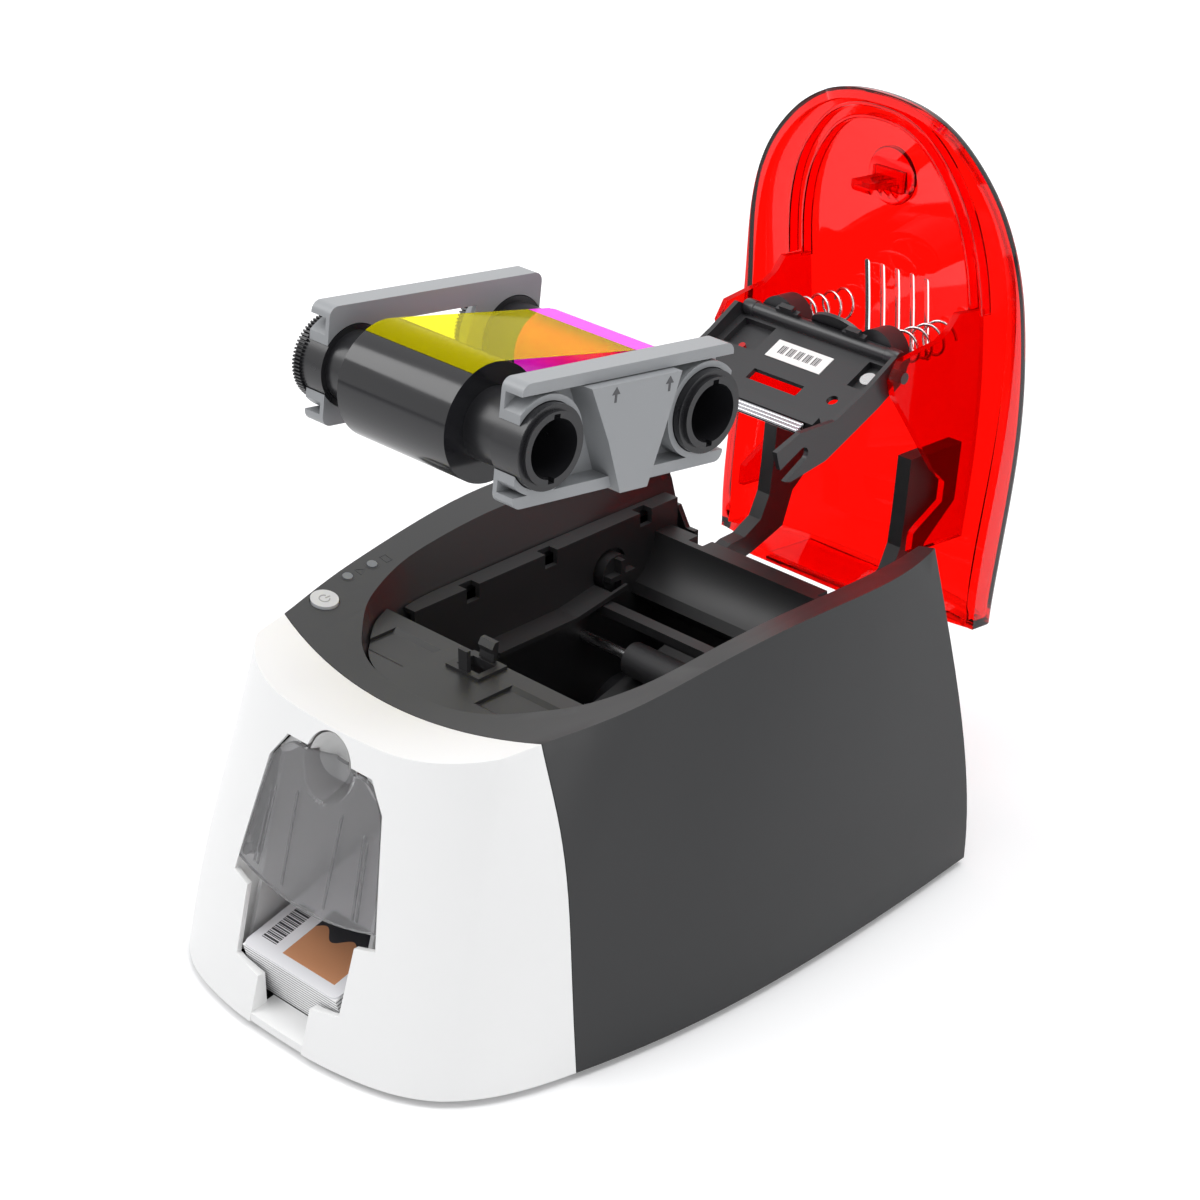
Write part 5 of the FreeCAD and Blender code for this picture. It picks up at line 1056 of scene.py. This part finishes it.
form = bmesh.new()
for node, count, radius in RODS:
    corners = [v.co for v in frame["nodes"][node].data.vertices]
    across = [v.x / MM for v in corners]
    down = [v.dot(head_down) / MM for v in corners]
    top = max(v.dot(head_up) for v in corners) / MM - radius - ROD_SINK
    near, far = min(down) + radius, max(down) - radius
    for k in range(count):
        spot = head_down * (near + (far - near) * k / (count - 1)) + head_up * top
        rod(form, Vector((min(across), 0, 0)) + spot, Vector((max(across), 0, 0)) + spot, (
            (0, radius - ROD_EDGE), (0.006, radius), (0.994, radius), (1, radius - ROD_EDGE)),
            ROD_SIDES)
place("guide_rods", form, "rod_chrome", "print_head", ["heat_sink", "print_bar"])

# %% Clips and hump behind the bar
CLIP = [(0, 0), (12, 0), (12, 2.2), (9.5, 2.2), (9.5, 4.2), (2.5, 4.2), (2.5, 2.2), (0, 2.2)]
CLIPS, CLIP_THICK, CLIP_UP = (-24.0, 12.0), 2.4, 2.8
HUMP_HALF, HUMP_TALL, HUMP_THICK, HUMP_X, HUMP_UP, HUMP_BACK = 13.0, 6.5, 1.6, 6, 2.0, 2.6


def by_bar(x, up, back):
    """Lays an outline behind the pivot bar: u across from x, v up the head, in mm."""
    return lambda u, v, rise: (Vector((x + u, bar_mid.y, bar_mid.z)) * MM
                               + (head_up * (v + up) - head_down * (rise + back)) * MM)


form = bmesh.new()
for x in CLIPS:
    prism(form, CLIP, CLIP_THICK, by_bar(x, CLIP_UP, 0.0))
hump = [(HUMP_HALF * math.cos(math.pi * k / 20), HUMP_TALL * math.sin(math.pi * k / 20))
        for k in range(21)]
prism(form, hump, HUMP_THICK, by_bar(HUMP_X, HUMP_UP, HUMP_BACK))
place("head_clips", form, "bar_black", "print_head")

# %% [markdown]
# ## Signs on the shell
#
# The power button carries the usual ring and bar. The lamps have thin rings
# with a plain triangle and a plain card outline. A ray from above finds the
# surface under each point, so the signs follow it.

# %% Signs
SIGN_THICK, SIGN_SINK, SIGN_LINE, RAY_FROM, BAND_STEPS = 0.16, 0.06, 0.2, 300, 28
LAMP_X, LAMPS_Y, LAMP_RING = -75.6, (-27.8, -15.0), (3.0, 2.55)
TRIANGLE, TRIANGLE_AT = ((-1.9, -1.5), (1.9, -1.5), (0.0, 1.9)), (0.3, -21.2)
CARD_SIGN, CARD_SIGN_AT = ((-2.2, -1.6, 2.2, -1.2), (-2.2, 1.2, 2.2, 1.6),
                           (-2.2, -1.6, -1.8, 1.6), (1.8, -1.6, 2.2, 1.6)), (0.6, -8.2)
BUTTON_RING, BUTTON_BAR = (2.3, 1.85), (-0.24, 0.5, 0.24, 2.8)


def from_above(node, x, y):
    """Lays an outline on top of a node round a point of it, in mm."""
    found = surface(node)

    def lay(u, v, rise):
        hit = found.ray_cast(Vector((x + u, y + v, RAY_FROM)) * MM, Vector((0, 0, -1)))[0]
        over = (hit.z if hit else 0) + (rise - SIGN_SINK) * MM
        return Vector((x + u, y + v, 0)) * MM + Vector((0, 0, over))
    return lay


def band(form, outer_radius, inner_radius, start, end, lay):
    """A flat ring or part of one, angles in degrees."""
    rings = []
    for k in range(BAND_STEPS + 1):
        turn = math.radians(start + (end - start) * k / BAND_STEPS)
        rings.append([lay(radius * math.cos(turn), radius * math.sin(turn), rise) for radius, rise
                      in rectangle(inner_radius, 0.0, outer_radius, SIGN_THICK)])
    if end - start >= 360:
        strip(form, rings[:-1], closed_path=True)
    else:
        capped(form, rings)


button_mid = middle_of("power_button")[0] / MM
form = bmesh.new()
lay = from_above("power_button", button_mid.x, button_mid.y)
band(form, *BUTTON_RING, 125, 415, lay)
prism(form, rectangle(*BUTTON_BAR), SIGN_THICK, lay)
place("button_sign", form, "ink_grey", "button")

form = bmesh.new()
for lamp_y in LAMPS_Y:
    band(form, *LAMP_RING, 0, 360, from_above("rear_shell", LAMP_X, lamp_y))
lay = from_above("rear_shell", LAMP_X + TRIANGLE_AT[0], TRIANGLE_AT[1])
for i in range(3):
    first, second = Vector(TRIANGLE[i]), Vector(TRIANGLE[(i + 1) % 3])
    way = (second - first).normalized() * SIGN_LINE
    side = Vector((-way.y, way.x))
    prism(form, [tuple(p) for p in (first - side, second - side, second + side, first + side)],
          SIGN_THICK, lay)
lay = from_above("rear_shell", LAMP_X + CARD_SIGN_AT[0], CARD_SIGN_AT[1])
for edges in CARD_SIGN:
    prism(form, rectangle(*edges), SIGN_THICK, lay)
place("lamp_signs", form, "bar_black", "chassis")

# %% [markdown]
# ## Print on the top card
#
# The top card shows plain stripes, a block of colour and a dark wave in place
# of a picture. The stripes' widths and gaps repeat in a fixed order.

# %% Card print
STRIPES, STRIPE_START, STRIPE_LEFT, STRIPE_RIGHT = 22, -121.0, -23.0, -14.5
STRIPE_WIDTHS, STRIPE_GAPS = (0.35, 0.6, 0.3, 0.9), (0.4, 0.25, 0.55)
STRIPE_RISE, WAVE_RISE, BLOCK_RISE = 0.1, 0.12, 0.07
BLOCK, WAVE_LINE, WAVE_TALL, WAVE_END = (-9, -122.5, 21, -97), -106.0, 2.4, -96
lay = from_above("printed_card", 0.0, 0.0)
form = bmesh.new()
stripe_y = STRIPE_START
for count in range(STRIPES):
    wide = STRIPE_WIDTHS[count * 7 % 4]
    prism(form, rectangle(STRIPE_LEFT, stripe_y, STRIPE_RIGHT, stripe_y + wide), STRIPE_RISE, lay)
    stripe_y += wide + STRIPE_GAPS[count * 5 % 3]
wave = [(BLOCK[0] + 0.5 * k, WAVE_LINE + WAVE_TALL * math.sin(k * 0.2)) for k in range(61)]
prism(form, [(BLOCK[0], WAVE_END)] + wave + [(BLOCK[2], WAVE_END)], WAVE_RISE, lay)
place("card_stripes", form, "ink_black", "chassis")
form = bmesh.new()
prism(form, rectangle(*BLOCK), BLOCK_RISE, lay)
place("card_block", form, "ink_tan", "chassis")

# %% [markdown]
# ## Sizes at the end
#
# The box of the dressed part is measured and set beside the box of the CAD
# part.

# %% Both boxes side by side
low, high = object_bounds()
{"cad": [list(cad_low), list(cad_high)], "visual": [list(low), list(high)]}
